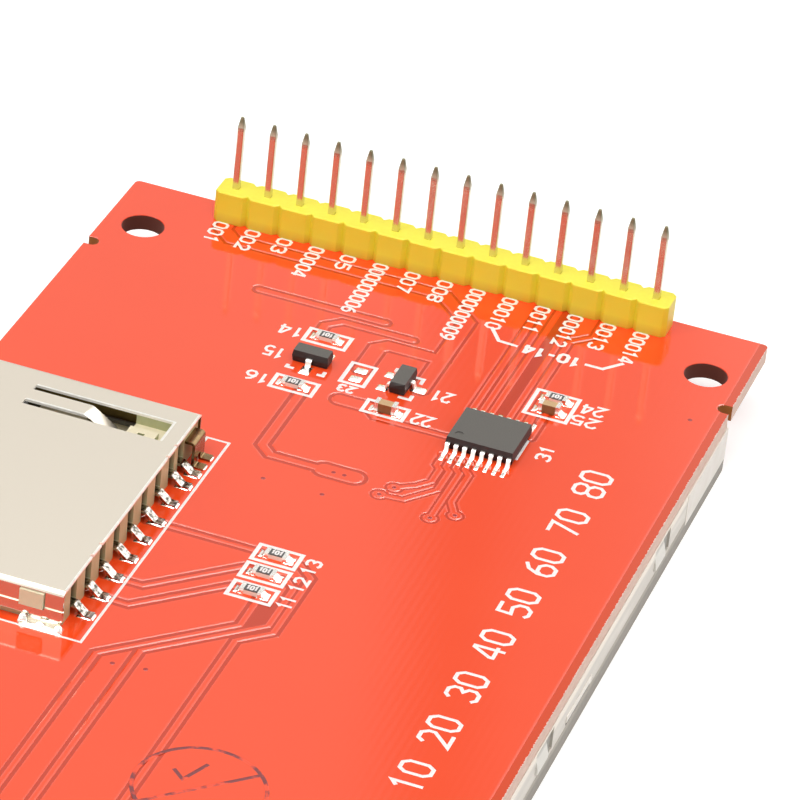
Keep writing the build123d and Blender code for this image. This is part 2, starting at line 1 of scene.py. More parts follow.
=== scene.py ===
# %% [markdown]
# # A colour display module, seen from the back
#
# The module lies on its display. What shows is the back of its circuit board: red solder mask over
# copper, white print, a yellow pin header, a steel card socket and a few small chips. The solids come
# from the CAD frame. This lesson dresses them: it lays copper and print on the board, melts solder
# round the leads, and gives every solid the finish of its real material.

# %% Load the frame
import math

import bpy
from mathutils import Matrix, Vector


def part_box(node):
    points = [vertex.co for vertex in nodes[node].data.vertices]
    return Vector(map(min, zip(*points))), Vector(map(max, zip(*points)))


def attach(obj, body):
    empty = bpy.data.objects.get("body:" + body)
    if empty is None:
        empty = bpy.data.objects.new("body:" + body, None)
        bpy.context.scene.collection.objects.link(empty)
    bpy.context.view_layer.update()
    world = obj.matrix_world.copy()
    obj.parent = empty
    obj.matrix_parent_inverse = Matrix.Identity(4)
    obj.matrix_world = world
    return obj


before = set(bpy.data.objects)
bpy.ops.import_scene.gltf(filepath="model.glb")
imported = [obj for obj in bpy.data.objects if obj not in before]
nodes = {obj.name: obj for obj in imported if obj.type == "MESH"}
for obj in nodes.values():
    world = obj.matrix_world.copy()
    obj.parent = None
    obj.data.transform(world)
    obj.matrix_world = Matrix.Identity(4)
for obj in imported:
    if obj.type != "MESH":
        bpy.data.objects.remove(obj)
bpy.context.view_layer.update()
scene = bpy.context.scene
mm = 0.001
board_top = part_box("circuit_board")[1].z / mm
print("nodes", len(nodes), "board top", round(board_top, 3), "mm")

# %% [markdown]
# ## Camera
#
# The photograph was taken from far off with a long lens, so lines hardly converge. The camera's place
# and turn were worked out from the known pitches of pins, contacts and leads. The three rows are its
# right, up and backward directions in the module's own frame.

# %% Set the camera
camera_data = bpy.data.cameras.new("camera")
camera_data.lens = 230.84
camera_data.sensor_width = 36
camera_data.clip_start = 0.01
camera = bpy.data.objects.new("camera", camera_data)
scene.collection.objects.link(camera)
right = Vector((0.93846065, 0.33201036, 0.09518786))
up = Vector((-0.25325978, 0.47410017, 0.84326064))
back = Vector((0.23484269, -0.81547419, 0.52900923))
turn = Matrix((right, up, back)).transposed().to_4x4()
camera.matrix_world = Matrix.Translation((0.088926, -0.274430, 0.198111)) @ turn
scene.camera = camera
print("camera is", round(camera.location.length * 1000), "mm from the module")

# %% [markdown]
# ## Small helpers for materials
#
# Colours are written as they look on a screen and turned to linear light by one function. Two more
# add a node with its settings and fill its inputs, so that each recipe below reads from top to bottom.
# A finish always starts from the same three things: a shader, an output and the piece's own
# coordinates, which are metres on the object. Hardly any real surface has one even colour, so most
# finishes wander softly between two tones.

# %% Helpers for materials
def colour(code):
    """An sRGB hex colour as linear light."""
    parts = [int(code[i:i + 2], 16) / 255 for i in (1, 3, 5)]
    return [c / 12.92 if c < 0.04045 else ((c + 0.055) / 1.055) ** 2.4 for c in parts] + [1]


def wire(tree, node, links):
    """Fill a node's inputs, each with a value, an output or a node, whose first output in use is taken."""
    for name, value in links.items():
        if isinstance(value, bpy.types.Node):
            value = next(output for output in value.outputs if output.enabled)
        if isinstance(value, bpy.types.NodeSocket):
            tree.links.new(value, node.inputs[name])
        else:
            node.inputs[name].default_value = value


def add(tree, kind, links=None, **settings):
    """A new node: settings are its properties, and links fill its inputs."""
    node = tree.nodes.new("ShaderNode" + kind)
    for name, value in settings.items():
        setattr(node, name, value)
    wire(tree, node, links or {})
    return node


def start_finish(name, base, roughness, metallic=0.0, ior=1.5):
    """A named material with its shader, and the coordinates that its patterns read."""
    finish = bpy.data.materials.new(name)
    finish.use_nodes = True
    tree = finish.node_tree
    tree.nodes.clear()
    shader = add(tree, "BsdfPrincipled", {
        "Base Color": colour(base), "Roughness": roughness, "Metallic": metallic, "IOR": ior})
    add(tree, "OutputMaterial", {"Surface": shader})
    place = add(tree, "TexCoord").outputs["Object"]
    return finish, tree, shader, place


def face_direction(tree):
    """The direction in which a face looks, as three numbers."""
    return add(tree, "SeparateXYZ", {0: add(tree, "NewGeometry").outputs["Normal"]})


def per_metre(size):
    """The scale of a pattern whose features are this many millimetres apart."""
    return 1 / (size * mm)


def mottled(name, base, dark, pale, roughness, size, detail=3.0, metallic=0.0, ior=1.5):
    """A finish whose colour wanders between two tones, in clouds this many millimetres apart."""
    finish, tree, shader, place = start_finish(name, base, roughness, metallic, ior)
    cloud = add(tree, "TexNoise", {"Vector": place, "Scale": per_metre(size), "Detail": detail})
    tint = add(tree, "Mix", {"Factor": cloud, 6: colour(dark), 7: colour(pale)}, data_type="RGBA")
    wire(tree, shader, {"Base Color": tint})
    return finish, tree, shader, place, cloud, tint


def dress(finish, *names):
    """Give CAD nodes their finish."""
    for name in names:
        nodes[name].data.materials.clear()
        nodes[name].data.materials.append(finish)


def ease_edges(width, *names):
    """Give CAD nodes small round edges that catch the light, as a modifier over the exact mesh."""
    for name in names:
        weld = nodes[name].modifiers.new("joined_triangles", "WELD")
        weld.merge_threshold = 0.0005 * mm
        ease = nodes[name].modifiers.new("eased_edges", "BEVEL")
        ease.width = width * mm
        ease.segments = 2
        ease.limit_method = "ANGLE"
        ease.angle_limit = math.radians(40)


print("helpers ready")

# %% [markdown]
# ## Floor and light
#
# A product photograph like this is taken in a white tent, with one big soft box in front and above. The
# tent is the world: even light on matt surfaces, and white where the camera or a mirror looks straight
# at it. Its cloth has one darker seam, and the glossy board mirrors it as a deeper red band. Its roof is
# brighter, and every small slope and bend that mirrors it gets a white edge. Seam and roof show in
# mirrors alone and were fitted to the photograph's angle. The floor is white paper that glows a little
# to the eye, and so its shadow stays faint.

# %% Lay the floor
bpy.ops.object.select_all(action="DESELECT")
bpy.ops.mesh.primitive_plane_add(size=4)
floor = bpy.context.object
floor.name = "floor"
# To the eye: plain white, with a faint shadow under the module.
white_paper, tree, shader, place = start_finish("white_paper_floor", "#D8D6D2", 0.9)
rays = add(tree, "LightPath")
seen = add(tree, "Math", {0: rays.outputs["Is Camera Ray"], 1: rays.outputs["Is Glossy Ray"]})
seen = add(tree, "Math", {0: seen, 1: rays.outputs["Is Transmission Ray"]})
wire(tree, shader, {"Emission Strength": seen})
shader.inputs["Emission Color"].default_value = (0.55, 0.55, 0.55, 1)
floor.data.materials.append(white_paper)
print("floor of", white_paper.name)

# %% Hang the tent
world = bpy.data.worlds.new("white_tent")
scene.world = world
world.use_nodes = True
tree = world.node_tree
tree.nodes.clear()
look = add(tree, "SeparateXYZ", {0: add(tree, "TexCoord").outputs["Generated"]})
aside = add(tree, "Math", {0: look.outputs["X"], 1: look.outputs["Y"]}, operation="DIVIDE")
seam_from, seam_to = -0.3, 0.5
along = add(tree, "MapRange", {"Value": aside, "From Min": seam_from, "From Max": seam_to})
seam = add(tree, "ValToRGB", {"Fac": along})
stops = [(-0.29, 1.0), (-0.284, 0.92), (-0.275, 0.5), (-0.268, 0.3), (-0.26, 0.54), (-0.25, 0.76),
         (-0.235, 0.76), (-0.229, 0.84), (-0.22, 0.98), (-0.21, 1.22), (-0.15, 1.3), (0.1, 1.6), (0.4, 2.4)]
for sideways, shade in stops:
    stop = seam.color_ramp.elements.new((sideways - seam_from) / (seam_to - seam_from))
    stop.color = (shade, shade, shade, 1)
seam.color_ramp.elements.remove(seam.color_ramp.elements[0])
seam.color_ramp.elements.remove(seam.color_ramp.elements[-1])
rays = add(tree, "LightPath")
mirrored = rays.outputs["Is Glossy Ray"]
cloth = add(tree, "Mix", {"Factor": mirrored, 6: (1, 1, 1, 1), 7: seam}, data_type="RGBA")
seen = add(tree, "Math", {0: rays.outputs["Is Camera Ray"], 1: rays.outputs["Is Glossy Ray"]})
seen = add(tree, "Math", {0: seen, 1: rays.outputs["Is Transmission Ray"]})
tent_light, tent_seen = 0.55, 1.05
roof_from, roof_to, roof_gain = 0.66, 0.8, 4.0
tent = add(tree, "MapRange", {"Value": seen, "To Min": tent_light, "To Max": tent_seen})
high = add(tree, "MapRange", {
    "Value": look.outputs["Z"], "From Min": roof_from, "From Max": roof_to,
    "To Min": 1.0, "To Max": roof_gain})
roof = add(tree, "Mix", {"Factor": mirrored, 2: 1.0, 3: high})
strength = add(tree, "Math", {0: tent, 1: roof}, operation="MULTIPLY")
light = add(tree, "Background", {"Color": cloth, "Strength": strength})
add(tree, "OutputWorld", {"Surface": light})
print("tent with", len(stops), "shades across its seam")

# %% Hang the lamp
lamp_data = bpy.data.lights.new("soft_box", "AREA")
lamp_data.shape = "RECTANGLE"
lamp_data.size = 0.7
lamp_data.size_y = 0.35
lamp_data.energy = 2.2
lamp = bpy.data.objects.new("soft_box", lamp_data)
scene.collection.objects.link(lamp)
lamp.location = (0.0, -0.18, 0.56)
lamp.rotation_euler = (-lamp.location).to_track_quat("-Z", "Y").to_euler()
scene.view_settings.view_transform = "Standard"

# %% [markdown]
# ## Drawing in millimetres
#
# Copper, print and solder are flat drawings with a small thickness, so they are drawn as a printer
# draws them: a line with a section. A flat curve with a bevel object sweeps the section along the line
# and keeps its width in the corners. Everything is drawn in millimetres from the board's own middle,
# at height 0 for its top, and brought to metres and to its place at the end.

# %% Helpers for drawing
copper_h = 0.04
print_h = 0.02


def alone(piece):
    """Select one object and nothing else."""
    bpy.ops.object.select_all(action="DESELECT")
    piece.select_set(True)
    bpy.context.view_layer.objects.active = piece


def flat_curve(paths):
    """A flat curve object of straight runs; each path is its points and whether it is closed."""
    bpy.ops.object.select_all(action="DESELECT")
    bpy.ops.curve.primitive_bezier_curve_add()
    drawn = bpy.context.object
    drawn.data.dimensions = "2D"
    drawn.data.fill_mode = "NONE"
    drawn.data.splines.clear()
    for points, closed in paths:
        run = drawn.data.splines.new("POLY")
        run.points.add(len(points) - 1)
        for point, (x, y) in zip(run.points, points):
            point.co = (x, y, 0, 1)
        run.use_cyclic_u = closed
    return drawn


def strips(paths, section):
    """Solid strips with this section, swept along the paths."""
    drawn = flat_curve(paths)
    shape = flat_curve([(section, True)])
    drawn.data.bevel_mode = "OBJECT"
    drawn.data.bevel_object = shape
    drawn.data.use_fill_caps = True
    alone(drawn)
    bpy.ops.object.convert(target="MESH")
    bpy.data.objects.remove(shape)
    bpy.ops.object.mode_set(mode="EDIT")
    bpy.ops.mesh.select_all(action="SELECT")
    bpy.ops.mesh.remove_doubles(threshold=0.0005)
    bpy.ops.mesh.normals_make_consistent(inside=False)
    bpy.ops.object.mode_set(mode="OBJECT")
    bpy.ops.object.shade_flat()
    return drawn


def joined(group):
    """One object made of several."""
    bpy.ops.object.select_all(action="DESELECT")
    for piece in group:
        piece.select_set(True)
    bpy.context.view_layer.objects.active = group[0]
    if len(group) > 1:
        bpy.ops.object.join()
    return group[0]


def settle(piece, name, finish):
    """Bring a piece from millimetres on the board to its place in metres, and finish it."""
    alone(piece)
    bpy.ops.object.transform_apply(location=True, rotation=True, scale=True)
    piece.matrix_world = Matrix.Scale(mm, 4) @ Matrix.Translation((0, 0, board_top))
    bpy.ops.object.transform_apply(location=True, rotation=True, scale=True)
    piece.name = name
    piece.data.name = name
    piece.data.materials.clear()
    piece.data.materials.append(finish)
    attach(piece, "root")
    print(name, len(piece.data.polygons), "faces")
    return piece


def ring_points(x, y, radius, count=32):
    """Points round a circle."""
    turns = [2 * math.pi * i / count for i in range(count)]
    return [(x + radius * math.cos(t), y + radius * math.sin(t)) for t in turns]


print("copper", copper_h, "mm and print", print_h, "mm thick")

# %% [markdown]
# ## Red solder mask
#
# Solder mask is a glossy epoxy ink, about 0.02 mm thick. Over copper it looks light and bright, over
# bare laminate darker. So it needs two finishes: one for the copper, and one for the board itself. The
# board's cut edges show cream laminate with thin layers of glass cloth, and along them the mask has
# chipped away in small bites. Inside the drilled holes the walls are painted dark brown, a painted shade,
# and inside the routed notches a darker amber.

# %% Mix the mask over copper
# To the eye: a wet, even orange-red that mirrors the tent, with fine streaks from the glass cloth below
# it. Under the socket's cover a dark tint stands for the shade there.
mask_red, tree, shader, place, cloud, tint = mottled(
    "red_solder_mask_over_copper", "#FC4F20", "#FA4C1E", "#FE5222", 0.07, 9)
socket_right, socket_middle, socket_half = -8.5, -1.9, 12.2
at = add(tree, "SeparateXYZ", {0: place})
under_x = add(tree, "Math", {0: at.outputs["X"], 1: socket_right * mm}, operation="LESS_THAN")
from_mid = add(tree, "Math", {0: at.outputs["Y"], 1: -socket_middle * mm})
from_mid = add(tree, "Math", {0: from_mid}, operation="ABSOLUTE")
under_y = add(tree, "Math", {0: from_mid, 1: socket_half * mm}, operation="LESS_THAN")
under = add(tree, "Math", {0: under_x, 1: under_y}, operation="MULTIPLY")
tint = add(tree, "Mix", {"Factor": under, 6: tint, 7: colour("#4A3C1E")}, data_type="RGBA")
wire(tree, shader, {"Base Color": tint})
peel = add(tree, "TexNoise", {"Vector": place, "Scale": per_metre(0.5), "Detail": 2.0})
relief = add(tree, "Bump", {"Height": peel, "Strength": 0.03, "Distance": 0.02 * mm})
weave_pitch = 0.55
waves_per_scale = 0.1 * math.pi
weave = add(tree, "TexWave", {"Vector": place, "Scale": waves_per_scale * per_metre(weave_pitch)})
ribs = add(tree, "Bump", {
    "Height": weave.outputs["Fac"], "Strength": 0.03, "Distance": 0.01 * mm, "Normal": relief})
wire(tree, shader, {"Normal": ribs})
print("mixed", mask_red.name)

# %% Mix the mask over laminate
# To the eye: a deeper red in the gaps of the copper, and round it a pale, dry, layered edge. The dark
# brown inside its holes is painted shade.
bite_from, bite_to = 25.0, 24.92
hole_place, hole_reach = (22.0 * mm, 36.8 * mm, 0), 1.75
notch_place, notch_reach = (24.6 * mm, 33.0 * mm, 0), 0.68
margin_from = 24.0
board_finish, tree, shader, place = start_finish("red_solder_mask_over_laminate", "#DE4610", 0.1)
facing = face_direction(tree)
flat = add(tree, "Math", {0: facing.outputs["Z"]}, operation="ABSOLUTE")
at = add(tree, "SeparateXYZ", {0: place})
from_side = add(tree, "Math", {0: at.outputs["X"]}, operation="ABSOLUTE")
bites = add(tree, "TexNoise", {"Vector": place, "Scale": per_metre(0.14), "Detail": 3.0})
reach = add(tree, "MapRange", {
    "Value": bites, "From Min": 0.4, "From Max": 0.7,
    "To Min": bite_from * mm, "To Max": bite_to * mm})
kept = add(tree, "Math", {0: from_side, 1: reach}, operation="LESS_THAN")
masked = add(tree, "Math", {0: flat, 1: 0.5}, operation="GREATER_THAN")
masked = add(tree, "Math", {0: masked, 1: kept}, operation="MULTIPLY")
layers = add(tree, "TexNoise", {
    "Vector": add(tree, "Mapping", {"Vector": place, "Scale": (0.5, 0.5, 2.5)}),
    "Scale": per_metre(0.4), "Detail": 4.0})
cloth = add(tree, "Mix", {"Factor": layers, 6: colour("#DCB4A4"), 7: colour("#FBE0D2")}, data_type="RGBA")
folded = add(tree, "CombineXYZ", {"X": from_side, "Y": at.outputs["Y"]})
to_hole = add(tree, "VectorMath", {0: folded, 1: hole_place}, operation="DISTANCE")
# Inside the holes the walls are painted dark brown: a painted shade.
hole_shade = add(tree, "Math", {0: to_hole, 1: hole_reach * mm}, operation="LESS_THAN")
to_notch = add(tree, "VectorMath", {0: folded, 1: notch_place}, operation="DISTANCE")
routed = add(tree, "Math", {0: to_notch, 1: notch_reach * mm}, operation="LESS_THAN")
wall = add(tree, "Mix", {"Factor": hole_shade, 6: cloth, 7: colour("#56200F")}, data_type="RGBA")
wall = add(tree, "Mix", {"Factor": routed, 6: wall, 7: colour("#9A5A22")}, data_type="RGBA")
margin = add(tree, "Math", {0: from_side, 1: margin_from * mm}, operation="GREATER_THAN")
ink = add(tree, "Mix", {"Factor": margin, 6: colour("#CC3A10"), 7: colour("#DE4610")}, data_type="RGBA")
skin = add(tree, "Mix", {"Factor": masked, 6: wall, 7: ink}, data_type="RGBA")
wire(tree, shader, {"Base Color": skin})
gloss = add(tree, "MapRange", {"Value": masked, "To Min": 0.8, "To Max": 0.1})
wire(tree, shader, {"Roughness": gloss})
dress(board_finish, "circuit_board")
print("board dressed")

# %% [markdown]
# ## Copper under the mask
#
# Nearly the whole board is one sheet of copper. Each trace is cut free of it by a narrow gap on both
# sides, and the mask flows over those edges in small slopes that catch the light. So the sheet is
# modelled as a thin plate, and a sloped groove is cut out along every trace. The trace itself is then
# laid back into its groove. Each run is a width, a gap and its corner points.

# %% List the copper runs
runs = [
    (0.36, 0.36, [(-7.0, 0.3), (1.3, 0.3)]),
    (0.36, 0.36, [(-7.0, -7.13), (-4.35, -7.13), (0.9, -1.88), (1.4, -1.88)]),
    (0.36, 0.36, [(-7.0, -9.65), (-4.35, -9.65), (0.9, -4.4), (1.4, -4.4)]),
    (0.36, 0.36, [(3.13, -4.6), (3.13, -8.45), (-4.18, -15.76), (-4.18, -40.6)]),
    (0.36, 0.34, [(3.6, -2.1), (4.1, -2.1), (4.83, -2.83), (4.83, -7.67), (-1.67, -14.17), (-1.67, -40.6)]),
    (0.36, 0.34, [(3.6, 0.1), (4.2, 0.1), (5.43, -1.13), (5.43, -8.3), (3.49, -10.24), (3.49, -40.6)]),
    (0.6, 0.36, [(-3.4, 20.6), (-3.4, 12.9), (-2.45, 11.95), (2.0, 11.95)]),
    (1.45, 0.34, [(1.65, 11.95), (3.75, 11.95)]),
    (0.6, 0.32, [(-11.0, 32.45), (-1.25, 32.45)]),
    (0.6, 0.3, [(-5.0, 28.6), (-5.0, 30.1), (-4.0, 31.1), (1.35, 31.1)]),
    (1.15, 0.3, [(-0.55, 25.6), (-0.55, 28.9), (0.1, 29.55), (4.1, 29.55)]),
    (1.1, 0.3, [(4.1, 25.0), (4.1, 35.45), (1.35, 38.2), (-15.4, 38.2), (-16.6, 39.4), (-16.6, 40.6)]),
    (1.2, 0.3, [(2.0, 21.05), (-0.55, 21.05)]),
    (0.42, 0.3, [(8.0, 20.03), (2.4, 20.03), (1.6, 20.83)]),
    (0.46, 0.24, [(8.3, 24.0), (8.3, 40.6)]),
    (0.42, 0.24, [(9.03, 24.0), (9.03, 40.6)]),
    (0.42, 0.24, [(9.7, 24.0), (9.7, 40.6)]),
    (0.42, 0.3, [(11.02, 24.0), (11.02, 40.6)]),
    (0.42, 0.26, [(11.68, 24.0), (11.68, 36.4), (13.1, 37.9), (13.1, 40.6)]),
    (0.4, 0.24, [(8.43, 17.6), (8.43, 16.2), (8.78, 15.8), (8.78, 14.0), (8.0, 13.0), (6.72, 12.05)]),
    (0.4, 0.24, [(9.07, 17.6), (9.07, 16.3), (9.5, 15.8), (9.5, 13.2), (7.8, 10.95), (6.08, 10.75)]),
    (0.4, 0.24, [(9.73, 17.6), (9.73, 16.4), (10.2, 15.9), (10.2, 9.6)]),
    (0.4, 0.24, [(10.38, 17.6), (10.38, 16.6), (10.85, 16.0), (10.85, 12.2), (11.65, 10.7)]),
    (0.42, 0.3, [(13.2, 26.2), (13.2, 22.6)]),
]
bare_patches = [
    [(3.4, -5.5), (4.6, -5.5), (4.6, -7.8), (4.0, -8.3), (3.4, -8.3)],
    [(9.9, 24.6), (10.85, 24.6), (10.85, 40.4), (9.9, 40.4)],
]
vias = [(6.72, 12.05), (6.08, 10.75), (10.2, 9.6), (11.65, 10.7)]
covered_vias = [
    (-1.8, 8.85), (2.55, 8.85), (-2.75, -16.4), (-0.55, -16.05), (2.3, 11.85), (3.1, 11.85), (22.73, 30.34)]
print(len(runs), "copper runs")

# %% Helpers for copper
groove_foot, groove_top = -0.02, copper_h + 0.03


def groove(width):
    """Section of the cutter, steep at the foot and flat at the brim, so that the mask rolls over."""
    half = width / 2 - 0.07
    right_side = [(half, groove_foot), (half + 0.05, 0.016), (half + 0.1, 0.032),
                  (half + 0.2, copper_h + 0.002), (half + 0.2, groove_top)]
    return right_side + [(-x, z) for x, z in reversed(right_side)]


def ridge(width, height):
    """Section of a raised line whose sides roll off."""
    half = width / 2
    right_side = [(half + 0.03, 0), (half - 0.02, 0.5 * height), (half - 0.06, 0.88 * height),
                  (half - 0.1, height)]
    return right_side + [(-x, z) for x, z in reversed(right_side)]


def button(x, y, low_r, high_r, low_z, high_z):
    """A round stud or cutter, wider at one end."""
    bpy.ops.object.select_all(action="DESELECT")
    bpy.ops.mesh.primitive_cone_add(vertices=32, radius1=low_r, radius2=high_r, depth=high_z - low_z,
                                    location=(x, y, (low_z + high_z) / 2))
    stud = bpy.context.object
    bpy.ops.object.mode_set(mode="EDIT")
    bpy.ops.mesh.select_all(action="SELECT")
    bpy.ops.mesh.bevel(offset=0.2 * min(high_z - low_z, high_r), segments=2)
    bpy.ops.object.mode_set(mode="OBJECT")
    return stud


print("grooves from", groove_foot, "to", groove_top, "mm")

# %% Shape the copper sheet
board_w = (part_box("circuit_board")[1].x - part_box("circuit_board")[0].x) / mm
board_l = (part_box("circuit_board")[1].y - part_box("circuit_board")[0].y) / mm
edge_strip = 0.68
sheet_corner, sheet_slope = 0.42, 0.12
bpy.ops.object.select_all(action="DESELECT")
bpy.ops.mesh.primitive_plane_add(size=1)
pour = bpy.context.object
pour.scale = (board_w, board_l, 1)
bpy.ops.object.transform_apply(scale=True)
bpy.ops.object.mode_set(mode="EDIT")
bpy.ops.mesh.select_all(action="SELECT")
bpy.ops.mesh.bevel(offset=sheet_corner, segments=5, affect="VERTICES")
bpy.ops.mesh.select_all(action="SELECT")
bpy.ops.mesh.extrude_region_move(TRANSFORM_OT_translate={"value": (0, 0, copper_h)})
bpy.ops.transform.resize(value=(1 - sheet_slope / board_w, 1 - sheet_slope / board_l, 1))
bpy.ops.mesh.select_all(action="SELECT")
bpy.ops.mesh.normals_make_consistent(inside=False)
bpy.ops.object.mode_set(mode="OBJECT")
print("sheet", round(board_w, 2), "by", round(board_l, 2), "mm")

# %% Cut the grooves
slots = [(width + 2 * gap, points) for width, gap, points in runs]
slots.append((2 * edge_strip, [(board_w / 2, -board_l / 2 - 1), (board_w / 2, board_l / 2 + 1)]))
slots += [(1.1, [(side * 24.55, 33.0), (side * 26.0, 33.0)]) for side in (-1, 1)]
for corners in bare_patches:
    xs, ys = [x for x, y in corners], [y for x, y in corners]
    middle = (min(xs) + max(xs)) / 2
    slots.append((max(xs) - min(xs), [(middle, min(ys)), (middle, max(ys))]))
cutters = []
for width, points in slots:
    cutters.append(strips([(points, False)], groove(width)))
    for x, y in (points[0], points[-1]):
        cutters.append(button(x, y, width / 2 - 0.07, width / 2 + 0.13, groove_foot, groove_top))
for x, y in vias:
    cutters.append(button(x, y, 0.66, 0.8, groove_foot, groove_top))
pin_pitch = 2.54
hole_x, hole_far, hole_near = board_w / 2 - 3.0, 36.8, -39.2
for y in (hole_far, hole_near):
    cutters += [button(x, y, 1.6, 1.66, -0.1, groove_top) for x in (-hole_x, hole_x)]
for i in range(4):
    cutters.append(button(pin_pitch * (i - 1.5), -41.4, 1.1, 1.25, groove_foot, groove_top))
print(len(cutters), "cutters")
cutter = joined(cutters)
alone(pour)
cut = pour.modifiers.new("grooves", "BOOLEAN")
cut.operation = "DIFFERENCE"
cut.solver = "EXACT"
cut.use_self = True
cut.object = cutter
bpy.ops.object.modifier_apply(modifier="grooves")
bpy.data.objects.remove(cutter)
settle(pour, "copper_sheet", mask_red)

# %% Lay the traces
traces = []
for number, (width, gap, points) in enumerate(runs):
    height = copper_h + 0.001 * (number % 5)
    traces.append(strips([(points, False)], ridge(width, height)))
    for x, y in (points[0], points[-1]):
        traces.append(button(x, y, width / 2 + 0.03, width / 2 - 0.08, 0, height + 0.0005))
for x, y in vias:
    traces.append(strips([(ring_points(x, y, 0.3), True)], ridge(0.34, copper_h + 0.006)))
settle(joined(traces), "copper_traces", mask_red)
# To the eye: a small dark red dot, where the mask has sunk into a plated hole.
sunk_red = mottled("red_mask_in_a_via", "#A8180A", "#8E1208", "#BE2410", 0.15, 0.2, detail=2.0)[0]
dots = [button(x, y, 0.17, 0.1, copper_h, copper_h + 0.012) for x, y in covered_vias]
dots += [button(x, y, 0.2, 0.14, 0, copper_h + 0.012) for x, y in vias]
settle(joined(dots), "via_dots", sunk_red)

# %% [markdown]
# ## White print
#
# The outlines round the parts, the frame of the card socket and the numbers are epoxy ink, screened
# on in lines about 0.2 mm wide. Each is a short stroke, so a digit is drawn the way a plotter draws it,
# from a few straight strokes on a small grid. The marks are plain numbers: one for each pin, one for
# each chip and a scale of tens along the edge.

# %% Digits as strokes
digit_strokes = {
    "0": [([(0.15, 0), (0.45, 0), (0.6, 0.2), (0.6, 0.8), (0.45, 1), (0.15, 1), (0, 0.8), (0, 0.2)], True)],
    "1": [([(0.1, 0.8), (0.32, 1), (0.32, 0)], False)],
    "2": [([(0, 0.8), (0.15, 1), (0.45, 1), (0.6, 0.8), (0.6, 0.6), (0, 0), (0.62, 0)], False)],
    "3": [([(0, 0.85), (0.15, 1), (0.45, 1), (0.6, 0.85), (0.6, 0.65), (0.42, 0.52), (0.6, 0.38), (0.6, 0.15),
            (0.45, 0), (0.15, 0), (0, 0.15)], False)],
    "4": [([(0.45, 0), (0.45, 1), (0.36, 1), (0, 0.4), (0, 0.28), (0.62, 0.28)], False)],
    "5": [([(0.58, 1), (0.05, 1), (0.02, 0.55), (0.4, 0.6), (0.6, 0.42), (0.6, 0.18), (0.42, 0), (0.15, 0),
            (0, 0.12)], False)],
    "6": [([(0.5, 1), (0.2, 0.85), (0, 0.5), (0, 0.18), (0.15, 0), (0.45, 0), (0.6, 0.18), (0.6, 0.38),
            (0.45, 0.55), (0.15, 0.55), (0.02, 0.42)], False)],
    "7": [([(0, 1), (0.6, 1), (0.2, 0)], False)],
    "8": [([(0.15, 0.53), (0.45, 0.53), (0.6, 0.68), (0.6, 0.87), (0.45, 1), (0.15, 1), (0, 0.87),
            (0, 0.68)], True),
          ([(0.17, 0.53), (0, 0.38), (0, 0.14), (0.15, 0), (0.45, 0), (0.6, 0.14), (0.6, 0.38),
            (0.43, 0.53)], False)],
    "9": [([(0.1, 0), (0.4, 0.15), (0.6, 0.5), (0.6, 0.82), (0.45, 1), (0.15, 1), (0, 0.82), (0, 0.62),
            (0.15, 0.45), (0.45, 0.45), (0.58, 0.58)], False)],
    "-": [([(0.08, 0.5), (0.52, 0.5)], False)],
    " ": [],
}


digit_w, digit_share = 0.6, 0.7


def number_paths(text, low, high, turn):
    """Strokes of a number that fills a box on the board, read along +X after a turn in quarters."""
    wide, tall = high[0] - low[0], high[1] - low[1]
    across, upward = (tall, wide) if turn % 2 else (wide, tall)
    pitch = across / (len(text) - (1 - digit_share))
    paths = []
    for place_in_row, letter in enumerate(text):
        for points, closed in digit_strokes[letter]:
            drawn = []
            for u, v in points:
                p = (place_in_row + u / digit_w * digit_share) * pitch - across / 2
                q = v * upward - upward / 2
                for quarter in range(turn):
                    p, q = -q, p
                drawn.append(((low[0] + high[0]) / 2 + p, (low[1] + high[1]) / 2 + q))
            paths.append((drawn, closed))
    return paths


def box_path(x0, y0, x1, y1):
    """The four corners of an outline."""
    return [(x0, y0), (x1, y0), (x1, y1), (x0, y1)]


print(len(digit_strokes), "signs to print with")

# %% List the print
part_outlines = [box_path(*corners) for corners in [
    (-5.75, 27.35, -2.6, 29.15), (-5.7, 20.35, -2.57, 22.1), (1.28, 20.35, 4.3, 22.0),
    (-1.43, 23.35, 0.35, 26.15), (11.7, 25.65, 14.83, 29.1), (0.97, -0.75, 4.03, 1.15),
    (0.97, -3.05, 4.03, -1.25), (0.97, -5.45, 4.03, -3.65)]]
part_paths = [(path, True) for path in part_outlines]
fine_paths = [([(-25.0, -15.15), (-5.5, -15.15), (-5.5, 11.9), (-7.15, 11.9), (-7.15, 10.6)], False)]
part_paths += [
    ([(13.15, 19.4), (13.15, 22.2)], False),
    ([(-5.5, 23.7), (-5.5, 23.35), (-4.95, 23.35)], False),
    ([(-3.2, 23.35), (-2.75, 23.35), (-2.75, 23.9)], False),
    ([(3.0, 26.35), (3.9, 26.35), (3.9, 25.6)], False),
    ([(3.0, 23.3), (3.9, 23.3), (3.9, 23.9)], False),
    ([(1.75, 26.9), (1.75, 26.4)], False),
]
labels = [
    ("14", (-7.8, 27.55), (-6.1, 28.75), 2), ("15", (-7.7, 24.2), (-6.3, 25.45), 2),
    ("16", (-7.7, 20.5), (-6.1, 21.65), 2), ("21", (5.1, 24.2), (6.5, 25.45), 2),
    ("22", (4.9, 20.5), (6.3, 21.8), 2), ("23", (-1.2, 22.15), (-0.1, 22.95), 2),
    ("24", (15.3, 27.6), (16.95, 28.8), 2), ("25", (15.1, 25.9), (16.95, 27.05), 2),
    ("31", (14.35, 20.2), (15.3, 22.05), 1), ("13", (4.55, -0.75), (5.5, 0.9), 1),
    ("12", (4.55, -3.05), (5.5, -1.45), 1), ("11", (4.55, -5.3), (5.5, -3.95), 1),
]
pin_paths = []
for text, low, high, turn in labels:
    pin_paths += number_paths(text, low, high, turn)
label_ends = [37.2, 37.2, 38.1, 35.6, 38.1, 32.6, 37.3, 37.1, 32.5, 35.5, 36.4, 35.5, 36.4, 35.6]
